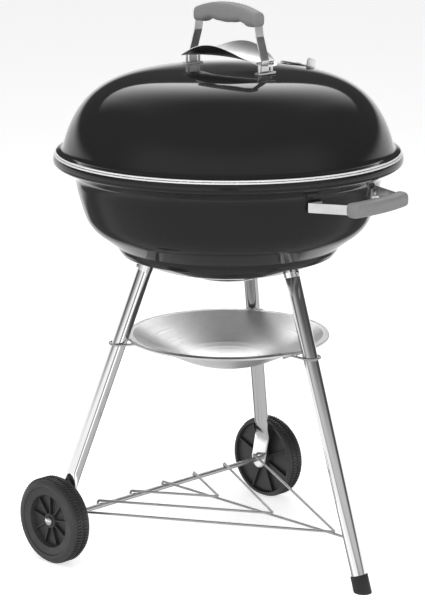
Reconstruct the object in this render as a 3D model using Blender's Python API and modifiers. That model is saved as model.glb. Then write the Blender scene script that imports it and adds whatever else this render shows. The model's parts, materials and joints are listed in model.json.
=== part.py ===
"""A kettle charcoal grill on a three-legged stand with two wheels.

Metres, +Z up. Everything is laid out around the kettle's vertical axis, with the ground at z = 0, the
front leg towards -Y and the axle along X. All parts hang on one empty, which is moved at the end so
that the origin lies under the middle of the grill's bounding box.
"""

import math

import bmesh
import bpy
from mathutils import Matrix, Vector

# ---- Driving dimensions ----------------------------------------------------------------------------

GAP = 0.0003  # between pieces that touch
SHEET = 0.0015  # enamelled steel of lid and bowl
TURN_STEPS = 32  # facets round the kettle

# Kettle: where lid and bowl meet
RIM_RADIUS = 0.2930
SEAM_HEIGHT = 0.7005
KETTLE_SETBACK = 0.0192

# Lid: a superellipse dome, r = half width, measured from a base height
DOME_HALF_WIDTH = 0.2912
DOME_RISE = 0.4460
DOME_TOP_HEIGHT = 0.8367
DOME_TOP_POWER = 3.831
DOME_SIDE_POWER = 5.094
DOME_POINTS = 10
LID_FLANGE_HEIGHT = 0.0060  # from the seam up to the foot of the dome

# Bowl
BOWL_TOP_RADIUS = 0.2557
BOWL_WALL_TOP = 0.6545
BOWL_TOP_LEAN = 0.183
BOWL_SIDE_LEAN = 0.33
BOWL_SHOULDER_LEAN = 0.92
BOWL_SIDE_ARC = 0.4163
BOWL_KNUCKLE_ARC = 0.0632
BOWL_SHOULDER_RADIUS = 0.1885
BOWL_SHOULDER_HEIGHT = 0.5425
BOWL_STEP_DROP = 0.0070
BOWL_STEP_IN = 0.0032
BOTTOM_SPHERE_RADIUS = 0.4310
BOTTOM_HEIGHT = 0.4876
BOTTOM_POINTS = 4

# Legs
TUBE_RADIUS = 0.0125
TUBE_WALL = 0.0012
LEG_REFERENCE_HEIGHT = 0.520
FRONT_LEG_TOP_HEIGHT = 0.506
REAR_LEG_TOP_HEIGHT = 0.500
FRONT_LEG_REACH_TOP = 0.1455
FRONT_LEG_REACH_GROUND = 0.3157
REAR_LEG_REACH_TOP = 0.138
REAR_LEG_ANGLE = math.radians(30.6)
REAR_LEG_BEND_Y = 0.1476
REAR_LEG_BEND_HEIGHT = 0.1217
TONGUE_WIDTH = 0.034
TONGUE_THICKNESS = 0.0036
SOCKET_STUB_LENGTH = 0.040
SOCKET_COLLAR_RADIUS = TUBE_RADIUS + 0.0006
SOCKET_COLLAR_TOP_RADIUS = TUBE_RADIUS + 0.0018
SOCKET_COLLAR_LENGTH = 0.030
SOCKET_SCREW_HEIGHT = 0.0055
CAP_WALL = 0.0023
CAP_HEIGHT = 0.024
LEG_END_HEIGHT = 0.0125

# Wheels and axle
WHEEL_RADIUS = 0.0745
WHEEL_WIDTH = 0.0357
WHEEL_CENTRE_X = 0.26135
WHEEL_STEPS = 30
HUB_INNER_REACH = 0.0215
HUB_OUTER_REACH = 0.0110
WHEEL_SIDE_CLEARANCE = 0.0012
AXLE_RADIUS = 0.0045
AXLE_RUNNING_GAP = 0.0004
AXLE_Y = 0.1565

# Wire rack
RACK_WIRE = 0.0045
RACK_PITCH = 0.0771
RACK_APEXES = (0.0221, -0.1094, -0.2528)
RACK_LEG_HEIGHT = 0.0855
RACK_WELD = 0.0008

# Ash tray and its clips
TRAY_RADIUS = 0.1847 - TUBE_RADIUS  # the legs pass just outside it
TRAY_HEIGHT = 0.3846
TRAY_SHEET = 0.0012
TRAY_FLANGE = 0.0090
TRAY_CREASE_RADIUS = 0.0940
TRAY_CREASE_DEPTH = 0.0346
TRAY_DISH_SAG = 0.0230
CLIP_WIRE = 0.0040
CLIP_LOOP_RADIUS = 0.0164
CLIP_TIP_REACH = 0.1450

# Grates
COOKING_GRATE_HEIGHT = 0.6400
COOKING_GRATE_CLEARANCE = 0.0045
COOKING_ROD_PITCH = 0.0235
CHARCOAL_GRATE_RADIUS = 0.2020
CHARCOAL_ROD_PITCH = 0.0300
RING_WIRE = 0.0060
ROD_WIRE = 0.0044
SUPPORT_COUNT = 3

# Lid handle
LID_HANDLE_FOOT_REACH = 0.0850
LID_HANDLE_TOP_REACH = 0.0675
LID_HANDLE_BAR_HEIGHT = 0.9255
LID_STRAP_WIDTH = 0.0180
LID_STRAP_THICKNESS = 0.0025
LID_GRIP_LENGTH = 0.1430
LID_GRIP_WIDTH = 0.0270
LID_GRIP_TOP = 0.9468
LID_GRIP_DROOP = 0.0130
LID_BOLT_SPACING = 0.0286
LID_FOOT_WIDTH = 0.0400
LID_FOOT_LENGTH = 0.0150
SHIELD_HALF_LENGTH = LID_HANDLE_FOOT_REACH + 0.0135
SHIELD_HALF_WIDTH = 0.0410
SHIELD_VALLEY_HEIGHT = 0.8568
SHIELD_ARCH = 0.70
SHIELD_CURL = 13.0
SHIELD_SHEET = 0.0010

# Bowl handle
BOWL_HANDLE_AZIMUTH = math.radians(5.0)
BOWL_HANDLE_HEIGHT = 0.6470
BOWL_HANDLE_SPREAD = 0.0914
BOWL_HANDLE_BAR_SPREAD = 0.0560
BOWL_HANDLE_REACH = 0.3115
BOWL_HANDLE_BOW = 0.0070
BOWL_STRAP_HEIGHT = 0.0165
BOWL_STRAP_THICKNESS = 0.0025
BOWL_GRIP_LENGTH = 0.1370
BOWL_GRIP_HEIGHT = 0.0244
BOWL_GRIP_THICKNESS = 0.0260
BOWL_BOLT_SPREAD = 0.0780

# Dampers
LID_DAMPER_REACH = 0.1670
LID_DAMPER_RADIUS = 0.0310
LID_VENT_RADIUS = 0.0070
LID_VENT_CIRCLE = 0.0160
BOWL_DAMPER_RADIUS = 0.0560
BOWL_VENT_RADIUS = 0.0085
BOWL_VENT_CIRCLE = 0.0360
DAMPER_SHEET = 0.0012
RIVET_RADIUS = 0.0025
RIVET_HEAD_RADIUS = 0.0060
BOLT_RADIUS = 0.0025
BOLT_HEAD_RADIUS = 0.0048
NUT_RADIUS = 0.0046
NUT_HEIGHT = 0.0035

# ---- Scene -----------------------------------------------------------------------------------------

for leftover in list(bpy.data.objects):
    bpy.data.objects.remove(leftover, do_unlink=True)

PARTS = bpy.data.collections.new("kettle_charcoal_grill")
CUTTERS = bpy.data.collections.new("cutters")
CUTTERS.hide_render = True
bpy.context.scene.collection.children.link(PARTS)
bpy.context.scene.collection.children.link(CUTTERS)

ROOT = bpy.data.objects.new("kettle_axis", None)
PARTS.objects.link(ROOT)


def material(name, color, roughness, metallic):
    made = bpy.data.materials.new(name)
    made.use_nodes = True
    shader = made.node_tree.nodes["Principled BSDF"]
    shader.inputs["Base Color"].default_value = (*color, 1.0)
    shader.inputs["Roughness"].default_value = roughness
    shader.inputs["Metallic"].default_value = metallic
    return made


ENAMEL = material("black_enamel", (0.012, 0.012, 0.013), 0.12, 0.0)
CHROME = material("chromed_steel", (0.80, 0.80, 0.80), 0.08, 1.0)
TRAY_STEEL = material("aluminised_steel", (0.72, 0.72, 0.72), 0.30, 1.0)
ALUMINIUM = material("damper_aluminium", (0.75, 0.75, 0.75), 0.25, 1.0)
GRIP_PLASTIC = material("grey_grip_plastic", (0.22, 0.22, 0.22), 0.55, 0.0)
WHEEL_PLASTIC = material("black_wheel_plastic", (0.025, 0.025, 0.025), 0.50, 0.0)
CAP_PLASTIC = material("black_cap_plastic", (0.02, 0.02, 0.02), 0.60, 0.0)
WIRE_STEEL = material("plated_wire", (0.45, 0.45, 0.45), 0.35, 1.0)
GRATE_STEEL = material("plated_grate_wire", (0.60, 0.60, 0.60), 0.28, 1.0)
ZINC = material("zinc_fastener", (0.65, 0.65, 0.65), 0.30, 1.0)

# ---- Building tools --------------------------------------------------------------------------------


def add_object(name, mesh, finish=None, parent=ROOT, origin=(0, 0, 0)):
    """A part, or a cutter when it has no finish."""
    made = bpy.data.objects.new(name, mesh)
    made.location = origin
    if finish is None:
        CUTTERS.objects.link(made)
        made.hide_render = True
        made.display_type = "WIRE"
    else:
        PARTS.objects.link(made)
        mesh.materials.append(finish)
    made.parent = parent
    return made


def mesh_from(bm, name):
    bmesh.ops.recalc_face_normals(bm, faces=bm.faces)
    mesh = bpy.data.meshes.new(name)
    bm.to_mesh(mesh)
    bm.free()
    mesh.shade_smooth()
    mesh.set_sharp_from_angle(angle=math.radians(35))
    return mesh


def along(at, direction, across=(1, 0, 0)):
    """A frame at a point with its Z along a direction and its X as near as can be to another."""
    z = Vector(direction).normalized()
    x = Vector(across)
    x = (x - z * x.dot(z)).normalized()
    y = z.cross(x)
    return Matrix.Translation(Vector(at)) @ Matrix((x, y, z)).transposed().to_4x4()


def add_cylinder(bm, frame, radius, low, high, sides=16, top_radius=None):
    """A cylinder or cone on a frame's Z axis, from one height to another."""
    middle = frame @ Matrix.Translation((0, 0, (low + high) / 2))
    bmesh.ops.create_cone(
        bm,
        cap_ends=True,
        segments=sides,
        radius1=radius,
        radius2=radius if top_radius is None else top_radius,
        depth=high - low,
        matrix=middle,
    )


def add_box(bm, frame, low, high):
    low = Vector(low)
    high = Vector(high)
    size = high - low
    matrix = frame @ Matrix.Translation((low + high) / 2) @ Matrix.Diagonal((*size, 1))
    bmesh.ops.create_cube(bm, size=1, matrix=matrix)


def cylinder(name, frame, radius, low, high, finish=None, sides=16):
    bm = bmesh.new()
    add_cylinder(bm, frame, radius, low, high, sides)
    return add_object(name, mesh_from(bm, name), finish)


def join_box(target, frame, low, high):
    """A box made one with a part. Its frame is the part's own."""
    bm = bmesh.new()
    add_box(bm, frame, low, high)
    name = f"{target.name}_box"
    boolean(target, add_object(name, mesh_from(bm, name), parent=target.parent), "UNION")


def boolean(target, other, operation="DIFFERENCE"):
    change = target.modifiers.new(other.name, "BOOLEAN")
    change.operation = operation
    change.solver = "EXACT"
    change.object = other
    return target


def turned(name, profile, finish=None, steps=TURN_STEPS, sheet=0.0, closed=False, frame=None):
    """A profile of (radius, height) points turned round Z. It runs down its outer side."""
    bm = bmesh.new()
    corners = [bm.verts.new((radius, 0, height)) for radius, height in profile]
    for first, second in zip(corners, corners[1:]):
        bm.edges.new((first, second))
    if closed:
        bm.edges.new((corners[-1], corners[0]))
    mesh = bpy.data.meshes.new(name)
    bm.to_mesh(mesh)
    bm.free()
    made = add_object(name, mesh, finish)
    if frame is not None:
        made.matrix_local = frame
    turn = made.modifiers.new("turn", "SCREW")
    turn.steps = steps
    turn.render_steps = steps
    turn.use_merge_vertices = True
    turn.merge_threshold = 0.00002
    turn.use_smooth_shade = True
    if sheet:
        thicken = made.modifiers.new("sheet", "SOLIDIFY")
        thicken.thickness = sheet
        thicken.offset = -1
        thicken.use_even_offset = True
    return made


def rounded(points, radius, pieces=3):
    """A run of straight lines with each inner corner replaced by an arc."""
    made = [Vector(points[0])]
    for before, corner, after in zip(points, points[1:], points[2:]):
        corner = Vector(corner)
        back = Vector(before) - corner
        ahead = Vector(after) - corner
        turn = math.pi - back.angle(ahead)
        if turn < math.radians(3):
            made.append(corner)
            continue
        cut = min(radius * math.tan(turn / 2), 0.45 * back.length, 0.45 * ahead.length)
        start = corner + back.normalized() * cut
        end = corner + ahead.normalized() * cut
        centre = corner + (back.normalized() + ahead.normalized()).normalized() * (
            cut / math.tan(turn / 2) / math.cos(turn / 2)
        )
        bend = cut / math.tan(turn / 2)
        for step in range(pieces + 1):
            arm = (start - centre).slerp(end - centre, step / pieces)
            made.append(centre + arm * bend)
    made.append(Vector(points[-1]))
    return made


def wire(name, points, diameter, finish=None, resolution=1):
    """A round wire as a mesh with welded end caps."""
    curve = bpy.data.curves.new(name, "CURVE")
    curve.dimensions = "3D"
    curve.bevel_depth = diameter / 2
    curve.bevel_resolution = resolution
    curve.use_fill_caps = True
    spline = curve.splines.new("POLY")
    spline.points.add(len(points) - 1)
    for place, point in zip(spline.points, points):
        place.co = (*point, 1)
    drawn = bpy.data.objects.new(name + "_line", curve)
    CUTTERS.objects.link(drawn)
    graph = bpy.context.evaluated_depsgraph_get()
    mesh = bpy.data.meshes.new_from_object(drawn.evaluated_get(graph))
    bpy.data.objects.remove(drawn)
    bm = bmesh.new()
    bm.from_mesh(mesh)
    bmesh.ops.remove_doubles(bm, verts=bm.verts, dist=0.00001)
    return add_object(name, mesh_from(bm, name), finish)


def flat_bar(name, path, width, thickness, finish=None, frame=None):
    """A bent flat bar: a path in the frame's XY plane, the width along its Z."""
    bm = bmesh.new()
    low = [bm.verts.new((point[0], point[1], -width / 2)) for point in path]
    edges = [bm.edges.new(pair) for pair in zip(low, low[1:])]
    pulled = bmesh.ops.extrude_edge_only(bm, edges=edges)
    high = [item for item in pulled["geom"] if isinstance(item, bmesh.types.BMVert)]
    bmesh.ops.translate(bm, verts=high, vec=(0, 0, width))
    made = add_object(name, mesh_from(bm, name), finish)
    if frame is not None:
        made.matrix_local = frame
    thicken = made.modifiers.new("bar", "SOLIDIFY")
    thicken.thickness = thickness
    thicken.offset = 0
    thicken.use_even_offset = True
    return made


def squircle(half_a, half_b, power, count):
    """Points round an oval whose corners fill out as the power grows."""
    points = []
    for step in range(count):
        angle = 2 * math.pi * (step + 0.5) / count
        cosine = math.cos(angle)
        sine = math.sin(angle)
        a = half_a * math.copysign(abs(cosine) ** (2 / power), cosine)
        b = half_b * math.copysign(abs(sine) ** (2 / power), sine)
        points.append((a, b))
    return points


def loft(name, rings, finish=None):
    """A closed body through rings of equally many points."""
    bm = bmesh.new()
    loops = [[bm.verts.new(point) for point in ring] for ring in rings]
    for first, second in zip(loops, loops[1:]):
        for index, corner in enumerate(first):
            following = (index + 1) % len(first)
            bm.faces.new((corner, first[following], second[following], second[index]))
    bm.faces.new(loops[0])
    bm.faces.new(loops[-1])
    return add_object(name, mesh_from(bm, name), finish)


def dome_head(frame, radius, height, shaft_radius, shaft_length, name, finish, sides=12):
    """A button-head fastener: the head's flat side at the frame's origin, its shaft along -Z."""
    profile = [
        (0, height),
        (radius * 0.6, height * 0.86),
        (radius * 0.92, height * 0.45),
        (radius, 0),
        (shaft_radius, 0),
        (shaft_radius, -shaft_length),
        (0, -shaft_length),
    ]
    return turned(name, profile, finish, steps=sides, frame=frame)


def nut(name, frame, finish=ZINC):
    """A hexagon nut on the frame's Z axis, from its origin towards +Z."""
    inner = (BOLT_RADIUS + GAP) / math.cos(math.pi / 6)
    profile = [(NUT_RADIUS, NUT_HEIGHT), (NUT_RADIUS, 0), (inner, 0), (inner, NUT_HEIGHT)]
    return turned(name, profile, finish, steps=6, closed=True, frame=frame)


# ---- Kettle profiles -------------------------------------------------------------------------------


def dome_height(radius):
    share = min(1.0, abs(radius) / DOME_HALF_WIDTH)
    rise = (1 - share**DOME_TOP_POWER) ** (1 / DOME_SIDE_POWER)
    return DOME_TOP_HEIGHT - DOME_RISE * (1 - rise)


def dome_radius(height):
    rise = 1 - (DOME_TOP_HEIGHT - height) / DOME_RISE
    return DOME_HALF_WIDTH * (1 - rise**DOME_SIDE_POWER) ** (1 / DOME_TOP_POWER)


def dome_normal(radius):
    step = 0.001
    slope = (dome_height(radius + step) - dome_height(radius - step)) / (2 * step)
    return Vector((-slope, 0, 1)).normalized()


def dome_profile():
    """From the top down to the foot of the dome, closer together where it bends."""
    foot_height = SEAM_HEIGHT + LID_FLANGE_HEIGHT
    foot_radius = dome_radius(foot_height)
    points = [(0, DOME_TOP_HEIGHT)]
    knee = 0.82 * foot_radius
    for step in range(1, 6):
        radius = knee * step / 5
        points.append((radius, dome_height(radius)))
    knee_height = dome_height(knee)
    for step in range(1, DOME_POINTS - 4):
        height = knee_height + (foot_height - knee_height) * step / (DOME_POINTS - 5)
        points.append((dome_radius(height), height))
    return points


def lid_profile():
    foot_radius = dome_radius(SEAM_HEIGHT + LID_FLANGE_HEIGHT)
    width = RIM_RADIUS - foot_radius
    flange = [
        (foot_radius + 0.14 * width, SEAM_HEIGHT + 0.66 * LID_FLANGE_HEIGHT),
        (foot_radius + 0.42 * width, SEAM_HEIGHT + 0.46 * LID_FLANGE_HEIGHT),
        (foot_radius + 0.68 * width, SEAM_HEIGHT + 0.26 * LID_FLANGE_HEIGHT),
        (foot_radius + 0.78 * width, SEAM_HEIGHT + 0.0004),
    ]
    return dome_profile() + flange


def bottom_height(radius):
    drop = math.sqrt(BOTTOM_SPHERE_RADIUS**2 - radius**2)
    return BOTTOM_HEIGHT + BOTTOM_SPHERE_RADIUS - drop


def arc_down(start, lean, end_lean, radius, count):
    """Points along an arc that runs down and inwards, its lean measured from the vertical."""
    for step in range(1, count + 1):
        here = lean + (end_lean - lean) * step / count
        inward = radius * (math.cos(lean) - math.cos(here))
        down = radius * (math.sin(here) - math.sin(lean))
        yield (start[0] - inward, start[1] - down)


def wall_curve():
    """The bowl's side, from under the rim to the shoulder: it leans in and then turns under."""
    points = [(BOWL_TOP_RADIUS, BOWL_WALL_TOP)]
    points += arc_down(points[-1], BOWL_TOP_LEAN, BOWL_SIDE_LEAN, BOWL_SIDE_ARC, 3)
    points += arc_down(points[-1], BOWL_SIDE_LEAN, BOWL_SHOULDER_LEAN, BOWL_KNUCKLE_ARC, 4)
    points.append((BOWL_SHOULDER_RADIUS, BOWL_SHOULDER_HEIGHT))
    return points


def bowl_profile():
    flare = RIM_RADIUS - BOWL_TOP_RADIUS
    top = SEAM_HEIGHT - 0.0012
    rim = [
        (RIM_RADIUS - 0.0075, top - 0.0008),
        (RIM_RADIUS - 0.0036, top - 0.0004),
        (RIM_RADIUS - 0.0008, top - 0.0050),
        (RIM_RADIUS - 0.0002, top - 0.0120),
        (RIM_RADIUS - 0.0030, top - 0.0180),
        (RIM_RADIUS - 0.45 * flare, top - 0.0252),
        (RIM_RADIUS - 0.82 * flare, top - 0.0335),
    ]
    step_radius = BOWL_SHOULDER_RADIUS - BOWL_STEP_IN
    step_height = BOWL_SHOULDER_HEIGHT - BOWL_STEP_DROP
    edge_radius = step_radius - 0.0085
    step = [
        (step_radius, step_height),
        (step_radius - 0.0030, (step_height + bottom_height(edge_radius)) / 2),
    ]
    bottom = []
    for index in range(BOTTOM_POINTS):
        radius = edge_radius * (1 - index / BOTTOM_POINTS)
        bottom.append((radius, bottom_height(radius)))
    bottom.append((0, BOTTOM_HEIGHT))
    return rim + wall_curve() + step + bottom


def radius_at(profile, height):
    """The radius where a profile running downwards passes a height, at the outermost crossing."""
    found = []
    for (r_high, z_high), (r_low, z_low) in zip(profile, profile[1:]):
        if min(z_high, z_low) <= height <= max(z_high, z_low) and z_high != z_low:
            share = (z_high - height) / (z_high - z_low)
            found.append(r_high + share * (r_low - r_high))
    return max(found)


def outward(profile, clearance):
    """The profile moved along its own normals, for a cutter that keeps a gap to the shell."""
    moved = []
    for index, (radius, height) in enumerate(profile):
        before = profile[max(0, index - 1)]
        after = profile[min(len(profile) - 1, index + 1)]
        run = Vector((after[0] - before[0], after[1] - before[1])).normalized()
        moved.append((max(0.0, radius - run.y * clearance), height + run.x * clearance))
    moved[-1] = (0, profile[-1][1] - clearance)
    return moved


BOWL_OUTSIDE = bowl_profile()


def bowl_blank(name, clearance):
    """A solid as large as the bowl's outside, to cut what fits against it."""
    shape = outward(BOWL_OUTSIDE[6:], clearance)
    return turned(name, [(0, shape[0][1])] + shape)


# ---- Lid -------------------------------------------------------------------------------------------


def vent_frames(frame, circle, count=3):
    for index in range(count):
        angle = 2 * math.pi * index / count
        offset = Vector((circle * math.cos(angle), circle * math.sin(angle), 0))
        yield frame @ Matrix.Translation(offset)


def damper_frame():
    at = (LID_DAMPER_REACH, 0, dome_height(LID_DAMPER_REACH))
    return along(at, dome_normal(LID_DAMPER_REACH), across=(0, -1, 0))


def lid_bolt_places():
    for side in (-1, 1):
        for across in (-1, 1):
            yield Vector((across * LID_BOLT_SPACING / 2, side * LID_HANDLE_FOOT_REACH, 0))


def make_lid():
    lid = turned("lid", lid_profile(), ENAMEL, sheet=SHEET)
    bm = bmesh.new()
    frame = damper_frame()
    for vent in vent_frames(frame, LID_VENT_CIRCLE):
        add_cylinder(bm, vent, LID_VENT_RADIUS, -0.01, 0.01, 12)
    add_cylinder(bm, frame, RIVET_RADIUS + GAP, -0.01, 0.01, 12)
    for place in lid_bolt_places():
        upright = Matrix.Translation(place)
        add_cylinder(bm, upright, BOLT_RADIUS + GAP, 0.80, 0.86, 12)
    boolean(lid, add_object("lid_holes", mesh_from(bm, "lid_holes")))


def make_lid_hook():
    """A bent strip inside the lid, to hang it on the bowl's edge."""
    high = SEAM_HEIGHT + 0.060
    low = SEAM_HEIGHT + 0.041
    inset = SHEET * 1.4 + GAP + 0.0014
    path = [
        (dome_radius(high) - inset, high),
        (dome_radius(low) - inset, low),
        (dome_radius(low) - inset - 0.002, low - 0.013),
        (dome_radius(low) - inset - 0.012, low - 0.020),
        (dome_radius(low) - inset - 0.021, low - 0.012),
    ]
    frame = Matrix(((0, 0, 1, 0), (1, 0, 0, 0), (0, 1, 0, 0), (0, 0, 0, 1)))
    flat_bar("lid_hook", rounded([(*p, 0) for p in path], 0.006, 2), 0.016, 0.0018, ZINC, frame)


def lid_foot_height():
    """The underside of the strap's feet, clear of the dome below them."""
    nearest = LID_HANDLE_FOOT_REACH - LID_FOOT_LENGTH / 2
    return dome_height(nearest) + GAP


def lid_strap_path():
    thickness = LID_STRAP_THICKNESS
    foot = lid_foot_height() + thickness / 2
    knee = LID_HANDLE_FOOT_REACH
    shoulder = LID_HANDLE_TOP_REACH
    toe = LID_HANDLE_FOOT_REACH + 0.006
    half = [
        (toe, foot, 0),
        (knee - 0.001, foot, 0),
        (knee - 0.0005, foot + 0.020, 0),
        (shoulder + 0.0045, LID_HANDLE_BAR_HEIGHT - 0.030, 0),
        (shoulder - 0.0005, LID_HANDLE_BAR_HEIGHT, 0),
    ]
    mirrored = [(-y, z, 0) for y, z, _ in reversed(half)]
    return rounded(half + mirrored, 0.006, 2)


YZ_FRAME = Matrix(((0, 0, 1, 0), (1, 0, 0, 0), (0, 1, 0, 0), (0, 0, 0, 1)))


def make_lid_handle():
    path = lid_strap_path()
    strap = flat_bar("lid_handle_strap", path, LID_STRAP_WIDTH, LID_STRAP_THICKNESS, CHROME, YZ_FRAME)
    foot = lid_foot_height()
    for index, side in enumerate((-1, 1)):
        bm = bmesh.new()
        middle = side * (LID_HANDLE_FOOT_REACH + 0.0004)
        low = (-LID_FOOT_WIDTH / 2, middle - LID_FOOT_LENGTH / 2, foot)
        high = (LID_FOOT_WIDTH / 2, middle + LID_FOOT_LENGTH / 2, foot + LID_STRAP_THICKNESS + 0.0002)
        add_box(bm, Matrix(), low, high)
        plate = add_object(f"lid_foot_{index}", mesh_from(bm, "lid_foot"))
        boolean(strap, plate, "UNION")
    bm = bmesh.new()
    for place in lid_bolt_places():
        add_cylinder(bm, Matrix.Translation(place), BOLT_RADIUS + GAP, 0.80, 0.88, 12)
    holes = add_object("lid_bolt_holes", mesh_from(bm, "lid_bolt_holes"))
    boolean(strap, holes)

    grip = loft("lid_handle_grip", list(lid_grip_rings()), GRIP_PLASTIC)
    room = flat_bar(
        "lid_grip_room",
        path,
        LID_STRAP_WIDTH + 2 * GAP,
        LID_STRAP_THICKNESS + 2 * GAP,
        None,
        YZ_FRAME,
    )
    boolean(grip, room)
    make_heat_shield(holes)


def grip_underside(y):
    """The finger side of the lid grip: a belly in the middle, a hollow each side, deep ends."""
    reach = abs(y) / (LID_GRIP_LENGTH / 2)
    knots = ((0.0, 0.0330), (0.25, 0.0318), (0.48, 0.0290), (0.60, 0.0318), (0.72, 0.0360), (1.0, 0.0360))
    for (near, deep), (far, deeper) in zip(knots, knots[1:]):
        if reach <= far:
            share = (reach - near) / (far - near)
            smooth = share * share * (3 - 2 * share)
            return LID_GRIP_TOP - deep - (deeper - deep) * smooth
    return LID_GRIP_TOP - knots[-1][1]


def lid_grip_rings():
    half = LID_GRIP_LENGTH / 2
    for share in (-1, -0.96, -0.85, -0.72, -0.6, -0.48, -0.25, 0, 0.25, 0.48, 0.6, 0.72, 0.85, 0.96, 1):
        y = share * half
        top = LID_GRIP_TOP - LID_GRIP_DROOP * abs(share) ** 2.2
        low = grip_underside(y)
        shrink = 0.80 if abs(share) == 1 else 1.0
        middle = (top + low) / 2
        ring = squircle(LID_GRIP_WIDTH / 2 * shrink, (top - low) / 2 * shrink, 3.2, 12)
        yield [(x, y, middle + z) for x, z in ring]


def shield_height(x, y):
    """A saddle: an arch along the handle with its sides curled up, flatter towards its ends."""
    curl = SHIELD_CURL * (1 - 0.75 * (y / SHIELD_HALF_LENGTH) ** 2)
    return SHIELD_VALLEY_HEIGHT - SHIELD_ARCH * y * y + curl * x * x


def make_heat_shield(bolt_holes):
    bm = bmesh.new()
    rows = 12
    columns = 6
    grid = []
    for row in range(rows + 1):
        angle = math.pi * (0.5 + row) / (rows + 1)
        y = -SHIELD_HALF_LENGTH * math.cos(angle)
        half = SHIELD_HALF_WIDTH * (0.30 + 0.70 * math.sin(angle) ** 1.3)
        line = []
        for column in range(columns + 1):
            x = half * (2 * column / columns - 1)
            line.append(bm.verts.new((x, y, shield_height(x, y))))
        grid.append(line)
    for first, second in zip(grid, grid[1:]):
        for column in range(columns):
            bm.faces.new((first[column], first[column + 1], second[column + 1], second[column]))
    shield = add_object("lid_heat_shield", mesh_from(bm, "lid_heat_shield"), CHROME)
    thicken = shield.modifiers.new("sheet", "SOLIDIFY")
    thicken.thickness = SHIELD_SHEET
    thicken.offset = 0
    slots = bmesh.new()
    width = LID_STRAP_WIDTH / 2 + 0.0006
    for side in (-1, 1):
        middle = side * LID_HANDLE_FOOT_REACH
        add_box(slots, Matrix(), (-width, middle - 0.0030, 0.82), (width, middle + 0.0022, 0.90))
    boolean(shield, add_object("shield_slots", mesh_from(slots, "shield_slots")))
    boolean(shield, bolt_holes)


def make_lid_fasteners():
    """Long bolts that hold heat shield, strap and lid together, with their nuts inside the lid."""
    for index, place in enumerate(lid_bolt_places(), 1):
        lean = max(shield_height(place.x + d, place.y) for d in (-0.0048, 0.0048))
        inside = dome_height(place.length) - SHEET
        top = Vector((place.x, place.y, lean + SHIELD_SHEET / 2 + GAP))
        below = inside - NUT_HEIGHT - 0.003
        frame = Matrix.Translation(top)
        dome_head(frame, 0.0046, 0.0030, BOLT_RADIUS, top.z - below, f"lid_handle_bolt_{index}", ZINC, 10)
        down = along((place.x, place.y, inside - 0.0012), (0, 0, -1))
        nut(f"lid_handle_nut_{index}", down)


def make_lid_damper():
    frame = damper_frame()
    low = GAP
    high = GAP + DAMPER_SHEET
    hub = bpy.data.objects.new("lid_damper_axis", None)
    PARTS.objects.link(hub)
    hub.parent = ROOT
    hub.matrix_local = frame
    bm = bmesh.new()
    add_cylinder(bm, Matrix(), LID_DAMPER_RADIUS, low, high, 28)
    disc = add_object("lid_damper", mesh_from(bm, "lid_damper"), ALUMINIUM, parent=hub)
    reach = LID_DAMPER_RADIUS - 0.0050
    turn = Matrix.Rotation(math.radians(12), 4, "Z")
    join_box(disc, turn, (reach - 0.0016, -0.0130, (low + high) / 2), (reach, 0.0130, 0.0120))
    join_box(disc, turn, (reach - 0.0014, -0.0095, 0.0100), (reach - 0.0002, 0.0095, 0.0142))
    holes = bmesh.new()
    for vent in vent_frames(Matrix(), LID_VENT_CIRCLE):
        add_cylinder(holes, vent, LID_VENT_RADIUS, -0.01, 0.01, 12)
    add_cylinder(holes, Matrix(), RIVET_RADIUS + GAP, -0.01, 0.01, 12)
    boolean(disc, add_object("lid_damper_holes", mesh_from(holes, "holes"), parent=hub))
    rivet_length = high + SHEET + 0.0030
    top = frame @ Matrix.Translation((0, 0, high + GAP))
    dome_head(top, RIVET_HEAD_RADIUS, 0.0028, RIVET_RADIUS, rivet_length, "lid_damper_rivet", ZINC)


# ---- Bowl ------------------------------------------------------------------------------------------


def bowl_handle_frame():
    """X runs along the handle, Y away from the kettle, Z up, at the handle's height."""
    turn = Matrix.Rotation(BOWL_HANDLE_AZIMUTH - math.pi, 4, "Z")
    return Matrix.Translation((0, 0, BOWL_HANDLE_HEIGHT)) @ turn


def bowl_strap_radius():
    """Middle of the strap where it lies against the bowl."""
    top = BOWL_HANDLE_HEIGHT + BOWL_STRAP_HEIGHT / 2
    return radius_at(BOWL_OUTSIDE[5:], top) + 2 * GAP + BOWL_STRAP_THICKNESS / 2


def bowl_bolt_frames():
    """On the strap's outer face, with Z pointing away from the kettle."""
    base = bowl_handle_frame()
    radius = bowl_strap_radius()
    for side in (-1, 1):
        angle = math.asin(BOWL_BOLT_SPREAD / radius)
        direction = base.to_3x3() @ Vector((side * math.sin(angle), math.cos(angle), 0))
        centre = base.translation + direction * (radius + BOWL_STRAP_THICKNESS / 2 + GAP)
        yield along(centre, direction, across=(0, 0, 1))


def make_bowl():
    bowl = turned("bowl", BOWL_OUTSIDE, ENAMEL, sheet=SHEET)
    bm = bmesh.new()
    for vent in vent_frames(Matrix.Translation((0, 0, BOTTOM_HEIGHT)), BOWL_VENT_CIRCLE):
        add_cylinder(bm, vent, BOWL_VENT_RADIUS, -0.01, 0.02, 12)
    add_cylinder(bm, Matrix.Translation((0, 0, BOTTOM_HEIGHT)), RIVET_RADIUS + GAP, -0.01, 0.02, 12)
    for frame in bowl_bolt_frames():
        add_cylinder(bm, frame, BOLT_RADIUS + GAP, -0.02, 0.01, 12)
    boolean(bowl, add_object("bowl_holes", mesh_from(bm, "bowl_holes")))


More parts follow.
